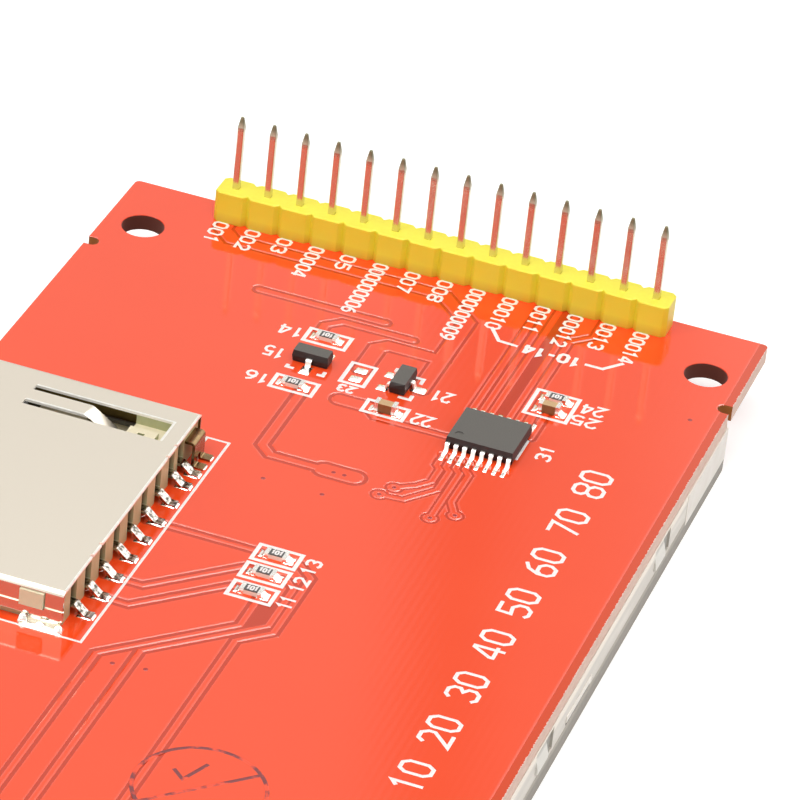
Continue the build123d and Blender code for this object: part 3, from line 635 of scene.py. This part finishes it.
label_digits = [3, 3, 2, 5, 2, 9, 3, 3, 9, 5, 4, 5, 4, 5]
first_label, label_half, label_start = -16.9, 0.5, 40.1
for i, (end, digits) in enumerate(zip(label_ends, label_digits)):
    x = first_label + pin_pitch * i
    label = str(i + 1).zfill(digits)
    pin_paths += number_paths(label, (x - label_half, end), (x + label_half, label_start), 3)
part_paths += number_paths("10-14", (9.0, 33.45), (13.2, 34.5), 2)
part_paths += [
    ([(5.95, 35.6), (7.0, 34.05), (8.5, 33.95)], False),
    ([(13.65, 33.95), (15.0, 33.95), (16.15, 35.4)], False),
]
bold_paths = number_paths("10 20 30 40 50 60 70 80", (17.95, -20.7), (20.05, 20.5), 1)
print(len(part_paths) + len(pin_paths) + len(bold_paths) + len(fine_paths), "strokes listed")

# %% Screen the print
# To the eye: a matt chalky white with a fine grain, standing just proud of the glossy red.
ink_white = mottled("white_epoxy_ink", "#F4EEEA", "#E8DCD6", "#FFFBF8", 0.45, 0.15, detail=2.0)[0]
print_jobs = [
    ("print_socket", fine_paths, 0.14), ("print_outlines", part_paths, 0.24),
    ("print_numbers", pin_paths, 0.16), ("print_scale", bold_paths, 0.22)]
crossing_step = 0.003
for name, paths, width in print_jobs:
    halves = [strips(paths[first::2], ridge(width, print_h + crossing_step * first))
              for first in (0, 1) if paths[first::2]]
    for half in halves:
        half.location.z = copper_h
    settle(joined(halves), name, ink_white)

# %% [markdown]
# ## Inspection stamp
#
# An inspector presses a small rubber stamp on each board. The ink is thin and dark, and it runs out
# here and there. A ring, a bar and a tick are swept as very low strips, and noise in the finish lets
# the mask's red through where the ink is thin.

# %% Press the stamp
# To the eye: a thin brownish line that breaks off where the ink ran out.
ink_dark, tree, shader, place = start_finish("dark_stamp_ink", "#701C1E", 0.35)
thin = add(tree, "TexNoise", {"Vector": place, "Scale": per_metre(1.0), "Detail": 3.0})
worn = add(tree, "MapRange", {"Value": thin, "From Min": 0.46, "From Max": 0.62})
tint = add(tree, "Mix", {"Factor": worn, 6: colour("#6A181A"), 7: colour("#F44A20")}, data_type="RGBA")
wire(tree, shader, {"Base Color": tint})
stamp_x, stamp_y = 7.3, -26.5
stamp = strips([
    (ring_points(stamp_x, stamp_y, 4.3, 72), True),
    ([(stamp_x - 3.0, stamp_y - 3.0), (stamp_x + 3.05, stamp_y + 3.05)], False),
    ([(stamp_x - 2.2, stamp_y + 1.2), (stamp_x - 1.3, stamp_y + 0.4),
      (stamp_x - 0.4, stamp_y + 2.6)], False),
], ridge(0.22, 0.006))
stamp.location.z = copper_h
settle(stamp, "stamp_ink", ink_dark)

# %% [markdown]
# ## Solder
#
# Molten solder wets the pad and climbs the metal end of each part, and cools into a concave fillet or,
# on a bare pad, a low cushion. One block is cut into a grid and its top pulled down by a rule: a cushion
# sinks towards all its sides, a fillet falls away from the end that it climbs. The same block, stretched
# and turned, serves every joint.

# %% Mix the solder
# To the eye: bright silver with soft ripples, almost black where it mirrors something dark.
solder_tin, tree, shader, place = start_finish("tin_solder", "#E6E3DC", 0.16, metallic=1.0)
dull = add(tree, "TexNoise", {"Vector": place, "Scale": per_metre(0.25), "Detail": 3.0})
shine = add(tree, "MapRange", {"Value": dull, "To Min": 0.08, "To Max": 0.32})
wire(tree, shader, {"Roughness": shine})
ripple = add(tree, "Bump", {"Height": dull, "Strength": 0.35, "Distance": 0.05 * mm})
wire(tree, shader, {"Normal": ripple})
print("mixed", solder_tin.name)


# %% Helpers for solder
def solder_block(rule):
    """A block of 1 by 1 by 1, cut into a grid, whose top follows the rule of u and v from 0 to 1."""
    bpy.ops.object.select_all(action="DESELECT")
    bpy.ops.mesh.primitive_cube_add(size=1, location=(0, 0, 0.5))
    block = bpy.context.object
    bpy.ops.object.transform_apply(location=True)
    bpy.ops.object.mode_set(mode="EDIT")
    bpy.ops.mesh.select_all(action="SELECT")
    bpy.ops.mesh.subdivide(number_cuts=5)
    bpy.ops.object.mode_set(mode="OBJECT")
    for corner in block.data.vertices:
        corner.co.z *= rule(corner.co.x + 0.5, corner.co.y + 0.5)
    bpy.ops.object.shade_smooth()
    return block


def cushion_rule(u, v):
    """High in the middle, low all round."""
    return 0.12 + 0.88 * (1 - (2 * u - 1) ** 4) * (1 - (2 * v - 1) ** 4)


def fillet_rule(u, v):
    """Highest at u = 0, falling in a hollow curve, and lower at both sides."""
    return 0.05 + 0.95 * (1 - u) ** 2 * (1 - 0.5 * abs(2 * v - 1) ** 3)


def copies(block, places):
    """Copies of a block, each with its own mesh: x, y, turn in degrees, length, width, height."""
    made = []
    for x, y, turn_deg, length, width, height in places:
        piece = block.copy()
        piece.data = block.data.copy()
        scene.collection.objects.link(piece)
        piece.scale = (length, width, height)
        piece.rotation_euler.z = math.radians(turn_deg)
        piece.location = (x, y, copper_h / 2)
        alone(piece)
        bpy.ops.object.transform_apply(location=True, rotation=True, scale=True)
        made.append(piece)
    return made


def middle_of(name):
    """Middle of a CAD node in millimetres, seen from above."""
    low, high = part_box(name)
    return (low.x + high.x) / 2 / mm, (low.y + high.y) / 2 / mm


print("solder of the touch chip goes round", [round(c, 2) for c in middle_of("touch_chip")])

# %% Melt the joints
lead_pitch, contact_pitch = 0.65, 2.5
cushion = solder_block(cushion_rule)
fillet = solder_block(fillet_rule)
cushions, fillets = [], []
for name in [f"resistor_{n}" for n in range(1, 7)] + ["capacitor_1", "capacitor_2"]:
    x, y = middle_of(name)
    for side in (-1, 1):
        cushions.append((x + 0.85 * side, y, 0, 0.85, 0.92, 0.06))
        fillets.append((x + 1.0 * side, y, 0 if side > 0 else 180, 0.42, 0.82, 0.36))
touch_x, touch_y = middle_of("touch_chip")
for i in range(8):
    x = touch_x + lead_pitch * (i - 3.5)
    for side in (-1, 1):
        cushions.append((x, touch_y + side * 3.35, 90, 1.15, 0.34, 0.05))
x, y = middle_of("transistor")
cushions.append((x, y - 1.4, 90, 1.15, 0.8, 0.2))
cushions += [(x + side * 0.95, y + 1.15, 90, 0.95, 0.62, 0.13) for side in (-1, 1)]
x, y = middle_of("regulator")
cushions.append((x + 1.25, y, 0, 1.1, 0.8, 0.13))
cushions += [(x - 1.2, y + side * 0.95, 0, 0.85, 0.8, 0.13) for side in (1, -1)]
cushions += [(-0.52, 25.35, 0, 0.95, 0.75, 0.09), (-0.52, 24.13, 0, 0.95, 0.85, 0.09)]
half_contact, last_step = 0.375, 19.2
first_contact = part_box("socket_contacts")[0].y / mm + half_contact
for step in [contact_pitch * i for i in range(8)] + [last_step]:
    y = first_contact + step
    cushions.append((-6.35, y, 0, 1.15, 0.95, 0.1))
    fillets.append((-5.78, y, 0, 0.2, 0.7, 0.2))
for y in (9.45, 8.2):
    cushions.append((-6.2, y, 0, 0.9, 0.75, 0.1))
for side in (-1, 1):
    y = socket_middle + side * 12.85
    cushions.append((-8.55, y, 0, 3.0, 0.95, 0.22))
    cushions.append((-23.4, y, 0, 3.0, 0.95, 0.22))
cushions += [
    (-9.85, -14.6, 10, 0.7, 0.55, 0.62), (-8.55, -14.75, -8, 0.8, 0.5, 0.42),
    (-7.3, -14.72, 6, 0.65, 0.5, 0.46)]
solder = joined(copies(cushion, cushions) + copies(fillet, fillets))
bpy.data.objects.remove(cushion)
bpy.data.objects.remove(fillet)
settle(solder, "solder_joints", solder_tin)

# %% [markdown]
# ## Pin header
#
# The strip is injection-moulded nylon, a warm yellow that light enters a little. Its pins are square
# brass, tinned in a bath, so each mirrors the red board below it and dulls towards its tip.

# %% Finish the strip
# To the eye: a soft warm yellow that glows from inside. Its sides are painted greener, painted light
# for what the nylon scatters out of them, and its foot is painted browner, a painted contact shadow.
nylon, tree, shader, place, cloud, tint = mottled(
    "yellow_moulded_nylon", "#EADA2C", "#E8DC2C", "#F4E83C", 0.42, 0.3, ior=1.53)
facing = face_direction(tree)
# The sides are painted greener than the top: painted light scattered out of the nylon's sides.
flat = add(tree, "MapRange", {"Value": facing.outputs["Z"], "From Min": 0.1, "From Max": 0.7})
tint = add(tree, "Mix", {"Factor": flat, 6: colour("#DAE03E"), 7: tint}, data_type="RGBA")
at = add(tree, "SeparateXYZ", {0: place})
# The foot is painted browner: a painted contact shadow where the strip meets the board.
foot_h = 0.9
foot = add(tree, "MapRange", {
    "Value": at.outputs["Z"], "From Min": (board_top + foot_h) * mm, "From Max": board_top * mm})
tint = add(tree, "Mix", {"Factor": foot, 6: tint, 7: colour("#C8B430")}, data_type="RGBA")
wire(tree, shader, {"Base Color": tint})
shader.inputs["Subsurface Weight"].default_value = 0.25
shader.inputs["Subsurface Radius"].default_value = (0.0012, 0.0008, 0.0002)
spark = add(tree, "TexNoise", {"Vector": place, "Scale": per_metre(0.12), "Detail": 2.0})
relief = add(tree, "Bump", {"Height": spark, "Strength": 0.12, "Distance": 0.02 * mm})
wire(tree, shader, {"Normal": relief})
dress(nylon, "header_housing")
ease_edges(0.07, "header_housing")
print("strip of", nylon.name)

# %% Finish the pins
# To the eye: thin mirrors, red from the board below, with a dull dark tip.
tip_from, tip_to = 12.4, 13.4
pin_tin, tree, shader, place = start_finish("tinned_brass", "#C9C3B4", 0.16, metallic=1.0)
at = add(tree, "SeparateXYZ", {0: place})
tip = add(tree, "MapRange", {"Value": at.outputs["Z"], "From Min": tip_from * mm, "From Max": tip_to * mm})
tint = add(tree, "Mix", {"Factor": tip, 6: colour("#CFC6B4"), 7: colour("#6E6A54")}, data_type="RGBA")
wire(tree, shader, {"Base Color": tint})
drawn = add(tree, "TexNoise", {
    "Vector": add(tree, "Mapping", {"Vector": place, "Scale": (1, 1, 0.1)}),
    "Scale": per_metre(0.1), "Detail": 2.0})
shine = add(tree, "MapRange", {"Value": drawn, "To Min": 0.1, "To Max": 0.3})
dull = add(tree, "Mix", {"Factor": tip, 2: shine, 3: 0.5})
wire(tree, shader, {"Roughness": dull})
dress(pin_tin, *[f"header_pin_{n:02d}" for n in range(1, 15)])
dress(solder_tin, "header_solder", "chip_caps")
print("pins of", pin_tin.name)

# %% [markdown]
# ## Card socket
#
# The cover is thin nickel-plated steel: its top is satin, its bent walls are bright, and where the press
# sheared the sheet the rough edges are painted pale, a painted highlight. The inside of its far wall is
# painted dark olive, a painted shade. Along the openings and the rim the shears leave a fine burr, drawn
# as low strips painted white, also a painted highlight. The body under it is cream liquid-crystal polymer
# with flow lines. In the recesses of the contacts it is painted dark, a painted shade, and its lug and
# the faces that look up are painted paler, as painted light. The contacts are tinned bronze. The
# card-detect contact next to them is bare bronze, and has gone brown.

# %% Finish the cover
# To the eye: an even warm silver on top and sharp mirrors on the walls. The thin white edges are a
# painted highlight, and the dark olive inside the far wall is a painted shade.
sheet_t = 0.21
cover_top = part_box("socket_cover")[1].z
far_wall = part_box("socket_cover")[1].y - 1.0 * mm
nickel, tree, shader, place = start_finish("nickel_plated_steel", "#CCC3B4", 0.26, metallic=1.0)
at = add(tree, "SeparateXYZ", {0: place})
facing = face_direction(tree)
flat = add(tree, "Math", {0: facing.outputs["Z"]}, operation="ABSOLUTE")
upright = add(tree, "Math", {0: flat, 1: 0.4}, operation="LESS_THAN")
in_sheet = add(tree, "Math", {0: at.outputs["Z"], 1: cover_top - sheet_t * mm}, operation="GREATER_THAN")
# Cut faces of the sheet are painted white and not metal: a painted highlight.
cut_edge_highlight = add(tree, "Math", {0: upright, 1: in_sheet}, operation="MULTIPLY")
# Inside the far wall a dark olive is painted: a painted shade.
far = add(tree, "Math", {0: at.outputs["Y"], 1: far_wall}, operation="GREATER_THAN")
inward = add(tree, "Math", {0: facing.outputs["Y"], 1: -0.5}, operation="LESS_THAN")
shaded = add(tree, "Math", {0: far, 1: inward}, operation="MULTIPLY")
fine = add(tree, "TexNoise", {"Vector": place, "Scale": per_metre(0.1), "Detail": 2.0})
tint = add(tree, "Mix", {"Factor": fine, 6: colour("#CBC2B3"), 7: colour("#CDC4B5")}, data_type="RGBA")
tint = add(tree, "Mix", {"Factor": shaded, 6: tint, 7: colour("#6E5E38")}, data_type="RGBA")
tint = add(tree, "Mix", {"Factor": cut_edge_highlight, 6: tint, 7: colour("#FFFAF0")}, data_type="RGBA")
wire(tree, shader, {"Base Color": tint})
metal = add(tree, "Math", {0: 1.0, 1: cut_edge_highlight}, operation="SUBTRACT")
wire(tree, shader, {"Metallic": metal})
satin = add(tree, "MapRange", {"Value": fine, "To Min": 0.27, "To Max": 0.29})
smooth = add(tree, "Mix", {"Factor": upright, 2: satin, 3: 0.1})
shine = add(tree, "Mix", {"Factor": shaded, 2: smooth, 3: 0.5})
wire(tree, shader, {"Roughness": shine})
dress(nickel, "socket_cover")
ease_edges(0.07, "socket_cover")
print("cover of", nickel.name)

# %% Raise the burrs
# To the eye: a fine white line along each sheared edge, uneven in strength: a painted highlight on the
# burr.
burr_highlight_white = mottled("burr_with_painted_highlight", "#FFFAF0", "#DCD4C6", "#FFFFFA", 0.35, 0.4)[0]
burr_w, burr_h = 0.12, 0.02
opening_left, opening_right = -18.8 + burr_w / 2, -8.5 + burr_w / 2
opening_near, opening_far = 5.88, 8.48 + burr_w / 2
finger_near, finger_bend = 6.48 + burr_w / 2, -14.4
rim_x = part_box("socket_cover")[1].x / mm - burr_w / 2
rim_stops = [-13.9, -9.45, -9.15, -7.85, -7.55, 4.1, 4.4, 5.7, 6.0, 10.1]
burr_paths = [
    ([(opening_left, opening_far), (opening_right, opening_far), (opening_right, opening_near)], False),
    ([(opening_left, finger_near), (finger_bend, finger_near)], False),
]
for start, stop in zip(rim_stops[::2], rim_stops[1::2]):
    burr_paths.append(([(rim_x, start), (rim_x, stop)], False))
burr_highlights = strips(burr_paths, ridge(burr_w, burr_h))
burr_highlights.location.z = cover_top / mm - board_top
settle(burr_highlights, "cover_burr_highlights", burr_highlight_white)

# %% Finish the socket's body
# To the eye: matt cream ribs between almost black slots, whose dark is painted shade in the recesses, and
# a pale lug at the near end and paler faces that look up, both painted light.
lug_end = -14.3
body_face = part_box("socket_body")[1].x
polymer, tree, shader, place = start_finish("cream_liquid_crystal_polymer", "#C8C09C", 0.5)
at = add(tree, "SeparateXYZ", {0: place})
flow = add(tree, "TexNoise", {
    "Vector": add(tree, "Mapping", {"Vector": place, "Scale": (1, 1, 0.3)}),
    "Scale": per_metre(0.5), "Detail": 3.0})
tint = add(tree, "Mix", {"Factor": flow, 6: colour("#A6A67A"), 7: colour("#B8BA90")}, data_type="RGBA")
facing = face_direction(tree)
# The lug is painted paler and greener: painted light.
lit_lug = add(tree, "Math", {0: at.outputs["Y"], 1: lug_end * mm}, operation="LESS_THAN")
tint = add(tree, "Mix", {"Factor": lit_lug, 6: tint, 7: colour("#C4DEBE")}, data_type="RGBA")
# Faces that look up are painted paler: painted light.
lit_tops = add(tree, "Math", {0: facing.outputs["Z"], 1: 0.5}, operation="GREATER_THAN")
tint = add(tree, "Mix", {"Factor": lit_tops, 6: tint, 7: colour("#E0D4B4")}, data_type="RGBA")
# The recesses near the contacts are painted dark: a painted shade.
depth_shade = add(tree, "MapRange", {
    "Value": at.outputs["X"], "From Min": body_face - 0.1 * mm, "From Max": body_face - 0.45 * mm})
outer = add(tree, "Math", {0: at.outputs["X"], 1: body_face - 0.8 * mm}, operation="GREATER_THAN")
recess_shade = add(tree, "Math", {0: depth_shade, 1: outer}, operation="MULTIPLY")
tint = add(tree, "Mix", {"Factor": recess_shade, 6: tint, 7: colour("#34210F")}, data_type="RGBA")
wire(tree, shader, {"Base Color": tint})
dress(polymer, "socket_body")
print("body of", polymer.name)

# %% Finish the contacts and leads
# To the eye: broken silver, dark and bright in patches.
contact_tin, tree, shader, place = start_finish("tinned_bronze", "#CDC7BB", 0.18, metallic=1.0)
smear = add(tree, "TexNoise", {"Vector": place, "Scale": per_metre(0.3), "Detail": 2.0})
shine = add(tree, "MapRange", {"Value": smear, "To Min": 0.08, "To Max": 0.25})
wire(tree, shader, {"Roughness": shine})
patch = add(tree, "MapRange", {"Value": smear, "From Min": 0.35, "From Max": 0.65})
tint = add(tree, "Mix", {"Factor": patch, 6: colour("#4E4840"), 7: colour("#D8D2C8")}, data_type="RGBA")
wire(tree, shader, {"Base Color": tint})
relief = add(tree, "Bump", {"Height": smear, "Strength": 0.5, "Distance": 0.05 * mm})
wire(tree, shader, {"Normal": relief})
dress(contact_tin, "socket_contacts")

# To the eye: the chips' leads are an even, pale, milky silver.
lead_tin = mottled(
    "matt_tinned_copper", "#EAE6DE", "#DCD6CC", "#F8F5F0", 0.34, 0.4, detail=2.0, metallic=0.7)[0]
dress(lead_tin, "touch_chip_leads", "transistor_leads", "regulator_leads")

# To the eye: a brown, stained glint next to the silver contacts.
bronze = mottled("browned_bronze", "#7A5C3C", "#5E4428", "#A08660", 0.25, 0.7, metallic=1.0)[0]
dress(bronze, "detect_contact")
print("contacts of", contact_tin.name, "and", bronze.name)

# %% [markdown]
# ## Chips
#
# Packages are moulded from black epoxy filled with fine silica, so they are matt and slightly grey; their
# sides are painted near black, a painted shade. A chip resistor is white alumina with a black glass coat on
# its top, and a chip capacitor is brown fired ceramic all through, with its sides painted a darker brown,
# also a painted shade.

# %% Finish the packages
# To the eye: sandy dark grey tops over sides painted black, a painted shade.
epoxy, tree, shader, place, sand, tint = mottled(
    "black_moulding_epoxy", "#3A3834", "#302D28", "#44403A", 0.55, 0.09, detail=2.0)
facing = face_direction(tree)
# The sides are painted near black: a painted shade.
flat = add(tree, "MapRange", {"Value": facing.outputs["Z"], "From Min": 0.3, "From Max": 0.9})
tint = add(tree, "Mix", {"Factor": flat, 6: colour("#120F0D"), 7: tint}, data_type="RGBA")
wire(tree, shader, {"Base Color": tint})
relief = add(tree, "Bump", {"Height": sand, "Strength": 0.3, "Distance": 0.01 * mm})
wire(tree, shader, {"Normal": relief})
shader.inputs["Specular IOR Level"].default_value = 0.4
dress(epoxy, "touch_chip", "transistor", "regulator")
ease_edges(0.05, "touch_chip", "transistor", "regulator")
print("packages of", epoxy.name)

# %% Finish the resistors and capacitors
# To the eye: a shiny black top on a white chip.
coat_from = 0.36
alumina, tree, shader, place = start_finish("alumina_with_black_glass", "#E8E4DA", 0.4)
at = add(tree, "SeparateXYZ", {0: place})
coat = add(tree, "Math", {0: at.outputs["Z"], 1: (board_top + coat_from) * mm}, operation="GREATER_THAN")
tint = add(tree, "Mix", {"Factor": coat, 6: colour("#E0DACC"), 7: colour("#3A3836")}, data_type="RGBA")
wire(tree, shader, {"Base Color": tint})
fired = add(tree, "TexNoise", {"Vector": place, "Scale": per_metre(0.1), "Detail": 2.0})
shine = add(tree, "MapRange", {"Value": fired, "To Min": 0.2, "To Max": 0.45})
wire(tree, shader, {"Roughness": shine})
dress(alumina, *[f"resistor_{n}" for n in range(1, 7)])

# To the eye: an even tan, with sides painted a darker brown, a painted shade.
ceramic, tree, shader, place, cloud, tint = mottled(
    "brown_fired_ceramic", "#A87C4E", "#B08A5A", "#C6A478", 0.45, 0.12)
facing = face_direction(tree)
# The sides are painted a darker brown: a painted shade.
flat = add(tree, "MapRange", {"Value": facing.outputs["Z"], "From Min": 0.3, "From Max": 0.9})
tint = add(tree, "Mix", {"Factor": flat, 6: colour("#7A5228"), 7: tint}, data_type="RGBA")
wire(tree, shader, {"Base Color": tint})
dress(ceramic, "capacitor_1", "capacitor_2")
ease_edges(0.05, "capacitor_1", "capacitor_2")
print("chips of", alumina.name, "and", ceramic.name)

# %% Print the resistors' codes
code_paths = []
code_half_w, code_half_h, resistor_top = 0.38, 0.2, 0.41
for n in range(1, 7):
    x, y = middle_of(f"resistor_{n}")
    low, high = (x - code_half_w, y - code_half_h), (x + code_half_w, y + code_half_h)
    code_paths += number_paths("101", low, high, 0 if n < 4 else 2)
codes = strips(code_paths, ridge(0.07, 0.01))
codes.location.z = resistor_top
settle(codes, "resistor_codes", ink_white)

# %% [markdown]
# ## Display
#
# From the side the display is a pressed steel tray over a white moulded frame, with the edge of the
# touch panel's glass below. From the front it is a dark polariser behind clear glass and a film with a
# printed grey border. The layers in between hardly show, and get plain finishes of their materials. Along
# the sides lie thin strips: a grey film over the touch panel's edge, a white tape at the header end and
# a small tab of the tray, with a dark strip under the tab that is a painted shadow. They are plates with
# eased edges, laid on the tray's wall. One more dark strip, also a painted shadow, closes the view
# through the socket.

# %% Finish the tray
# To the eye: dull rolled steel with long streaks; the paler band along its bend is a painted highlight.
bend_from, bend_to = 0.8, 0.5
tray_low, tray_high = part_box("backlight_tray")
tray_steel, tree, shader, place = start_finish("satin_tin_plate", "#CFCAC2", 0.4, metallic=0.6)
at = add(tree, "SeparateXYZ", {0: place})
rolled = add(tree, "TexNoise", {
    "Vector": add(tree, "Mapping", {"Vector": place, "Scale": (1, 0.12, 1)}),
    "Scale": per_metre(0.7), "Detail": 4.0})
tint = add(tree, "Mix", {"Factor": rolled, 6: colour("#B4AEA6"), 7: colour("#DCD6CE")}, data_type="RGBA")
# Along the bend a paler band is painted: a painted highlight.
bend_highlight = add(tree, "MapRange", {
    "Value": at.outputs["Z"],
    "From Min": tray_high.z - bend_from * mm, "From Max": tray_high.z - bend_to * mm})
tint = add(tree, "Mix", {"Factor": bend_highlight, 6: tint, 7: colour("#E2DACE")}, data_type="RGBA")
wire(tree, shader, {"Base Color": tint})
dress(tray_steel, "backlight_tray")
print("tray of", tray_steel.name)

# %% Finish the inner layers
# To the eye: resin, foam and films are soft whites, the polarisers a deep black, the driver a grey mirror
# and the tails a shiny amber. Each row is a name, two tones, roughness, size of clouds and nodes.
plain = [
    ("white_led_resin", "#ECE8DF", "#F6F3EC", 0.45, 0.8, ["backlight_leds"]),
    ("white_adhesive_foam", "#E6E0D4", "#F4F0E8", 0.85, 0.3, ["adhesive_foam"]),
    ("white_optical_film", "#EEF0F0", "#F8FAFA", 0.35, 0.5,
     ["prism_film", "diffuser_film", "reflector_film"]),
    ("pale_gasket_foam", "#CFC9C0", "#DDD8D0", 0.8, 0.3, ["touch_gasket"]),
    ("dark_polariser_film", "#0E0F12", "#15171B", 0.2, 2.0, ["front_polariser", "rear_polariser"]),
    ("bare_silicon", "#4A4C50", "#5C5F64", 0.25, 0.4, ["driver_chip"]),
    ("amber_polyimide", "#A8631C", "#C27A2A", 0.3, 0.9, ["display_flex", "touch_tail", "led_strip"]),
]
for name, dark, pale, roughness, size, dressed in plain:
    dress(mottled(name, dark, dark, pale, roughness, size)[0], *dressed)
print(len(plain), "plain finishes")

# %% Finish the frame and the glass
# To the eye: white nubs in the tray's windows, painted dark where they lie deeper: a painted shade.
window_face, window_deep = 24.98, 24.8
frame_white, tree, shader, place, cloud, tint = mottled(
    "white_moulded_polycarbonate", "#F2EEE6", "#ECE8DF", "#F6F3EC", 0.45, 0.8)
at = add(tree, "SeparateXYZ", {0: place})
side = add(tree, "Math", {0: at.outputs["X"]}, operation="ABSOLUTE")
# Deeper in the windows the nubs are painted dark: a painted shade.
depth_shade = add(tree, "MapRange", {"Value": side, "From Min": window_face * mm, "From Max": window_deep * mm})
tint = add(tree, "Mix", {"Factor": depth_shade, 6: tint, 7: colour("#5E574C")}, data_type="RGBA")
wire(tree, shader, {"Base Color": tint})
dress(frame_white, "backlight_frame")

# To the eye: only its ground edge shows, a glossy mottled grey.
glass = mottled("soda_lime_glass", "#A8ACA4", "#847E76", "#A8A29A", 0.12, 0.3, ior=1.52)[0]
dress(glass, "touch_glass", "filter_glass", "array_glass", "light_guide")
print("frame of", frame_white.name, "and panes of", glass.name)

# %% Finish the touch face
# To the eye: a dark, still mirror inside a grey printed border.
border_side, border_near, border_far = 22.1, 3.4, 7.0
touch_face, tree, shader, place = start_finish("hard_coated_polyester", "#1A1B1E", 0.16)
at = add(tree, "SeparateXYZ", {0: place})
side = add(tree, "Math", {0: at.outputs["X"]}, operation="ABSOLUTE")
border = add(tree, "Math", {0: side, 1: border_side * mm}, operation="GREATER_THAN")
film_low, film_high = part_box("touch_film")
near_end = add(tree, "Math", {0: at.outputs["Y"], 1: film_low.y + border_near * mm}, operation="LESS_THAN")
border = add(tree, "Math", {0: border, 1: near_end}, operation="MAXIMUM")
far_end = add(tree, "Math", {
    0: at.outputs["Y"], 1: film_high.y - border_far * mm}, operation="GREATER_THAN")
border = add(tree, "Math", {0: border, 1: far_end}, operation="MAXIMUM")
tint = add(tree, "Mix", {"Factor": border, 6: colour("#141518"), 7: colour("#A09C94")}, data_type="RGBA")
wire(tree, shader, {"Base Color": tint})
dress(touch_face, "touch_film", "touch_spacer")
print("face of", touch_face.name)


# %% Lay the strips along the sides
def eased_box(name, slot, finish, low, high):
    """A thin plate with eased edges between two corners, in millimetres from the board's top."""
    size = [to - start for start, to in zip(low, high)]
    bpy.ops.object.select_all(action="DESELECT")
    bpy.ops.mesh.primitive_cube_add(size=1)
    plate = bpy.context.object
    plate.scale = size
    plate.location = [(start + to) / 2 for start, to in zip(low, high)]
    bpy.ops.object.transform_apply(location=True, rotation=True, scale=True)
    bpy.ops.object.mode_set(mode="EDIT")
    bpy.ops.mesh.select_all(action="SELECT")
    bpy.ops.mesh.bevel(offset=0.3 * min(size), segments=2)
    bpy.ops.object.mode_set(mode="OBJECT")
    return settle(plate, name, finish)


# To the eye: creased, warm white tape.
tape_white = mottled("white_polyester_tape", "#F4EDE4", "#F0E8DE", "#FFFAF4", 0.5, 1.1)[0]
# To the eye: a dusty brown-grey shadow.
shadow_strip = mottled("shaded_steel_gap", "#5A554C", "#4A453C", "#7A746A", 0.6, 0.5, detail=2.0)[0]
# To the eye: scuffed grey film, paler towards its upper edge.
film_from, film_to = 4.15, 3.75
edge_film, tree, shader, place, cloud, tint = mottled(
    "grey_edge_film", "#A8A29A", "#80786E", "#9C948A", 0.5, 0.6, detail=4.0)
at = add(tree, "SeparateXYZ", {0: place})
upper = add(tree, "MapRange", {
    "Value": at.outputs["Z"],
    "From Min": (board_top - film_from) * mm, "From Max": (board_top - film_to) * mm})
tint = add(tree, "Mix", {"Factor": upper, 6: tint, 7: colour("#B0A89E")}, data_type="RGBA")
wire(tree, shader, {"Base Color": tint})
wall_x = tray_high.x / mm
eased_box("end_tape", "white_film", tape_white, (wall_x, 23.2, -4.12), (wall_x + 0.04, 33.1, -1.45))
eased_box("wall_tab", "tray_steel", tape_white, (wall_x, -4.5, -3.3), (wall_x + 0.06, 0.9, -2.8))
# Under the tab a dark strip is a painted shadow.
eased_box("wall_tab_shadow", "tray_steel", shadow_strip, (wall_x, -4.5, -3.52), (wall_x + 0.02, 0.7, -3.34))
film_t = 0.03
film_near, film_far = tray_low.y / mm + 0.2, tray_high.y / mm - 0.2
for name, x_from in [("edge_film_right", wall_x), ("edge_film_left", -wall_x - film_t)]:
    corners = (x_from, film_near, -5.13), (x_from + film_t, film_far, -3.66)
    eased_box(name, "touch_polyester", edge_film, *corners)
# Under the socket's far wall a dark strip is a painted shadow that closes the view through the socket.
eased_box("socket_shadow_strip", "socket_polymer", shadow_strip, (-20.0, 10.1, copper_h), (-8.4, 10.3, 0.7))
print("strips laid on the wall at", round(wall_x, 2), "mm")

# %% [markdown]
# ## Closing
#
# Everything laid on the module has to stay inside the box of its solids, so that it still fits where
# the solids fit.
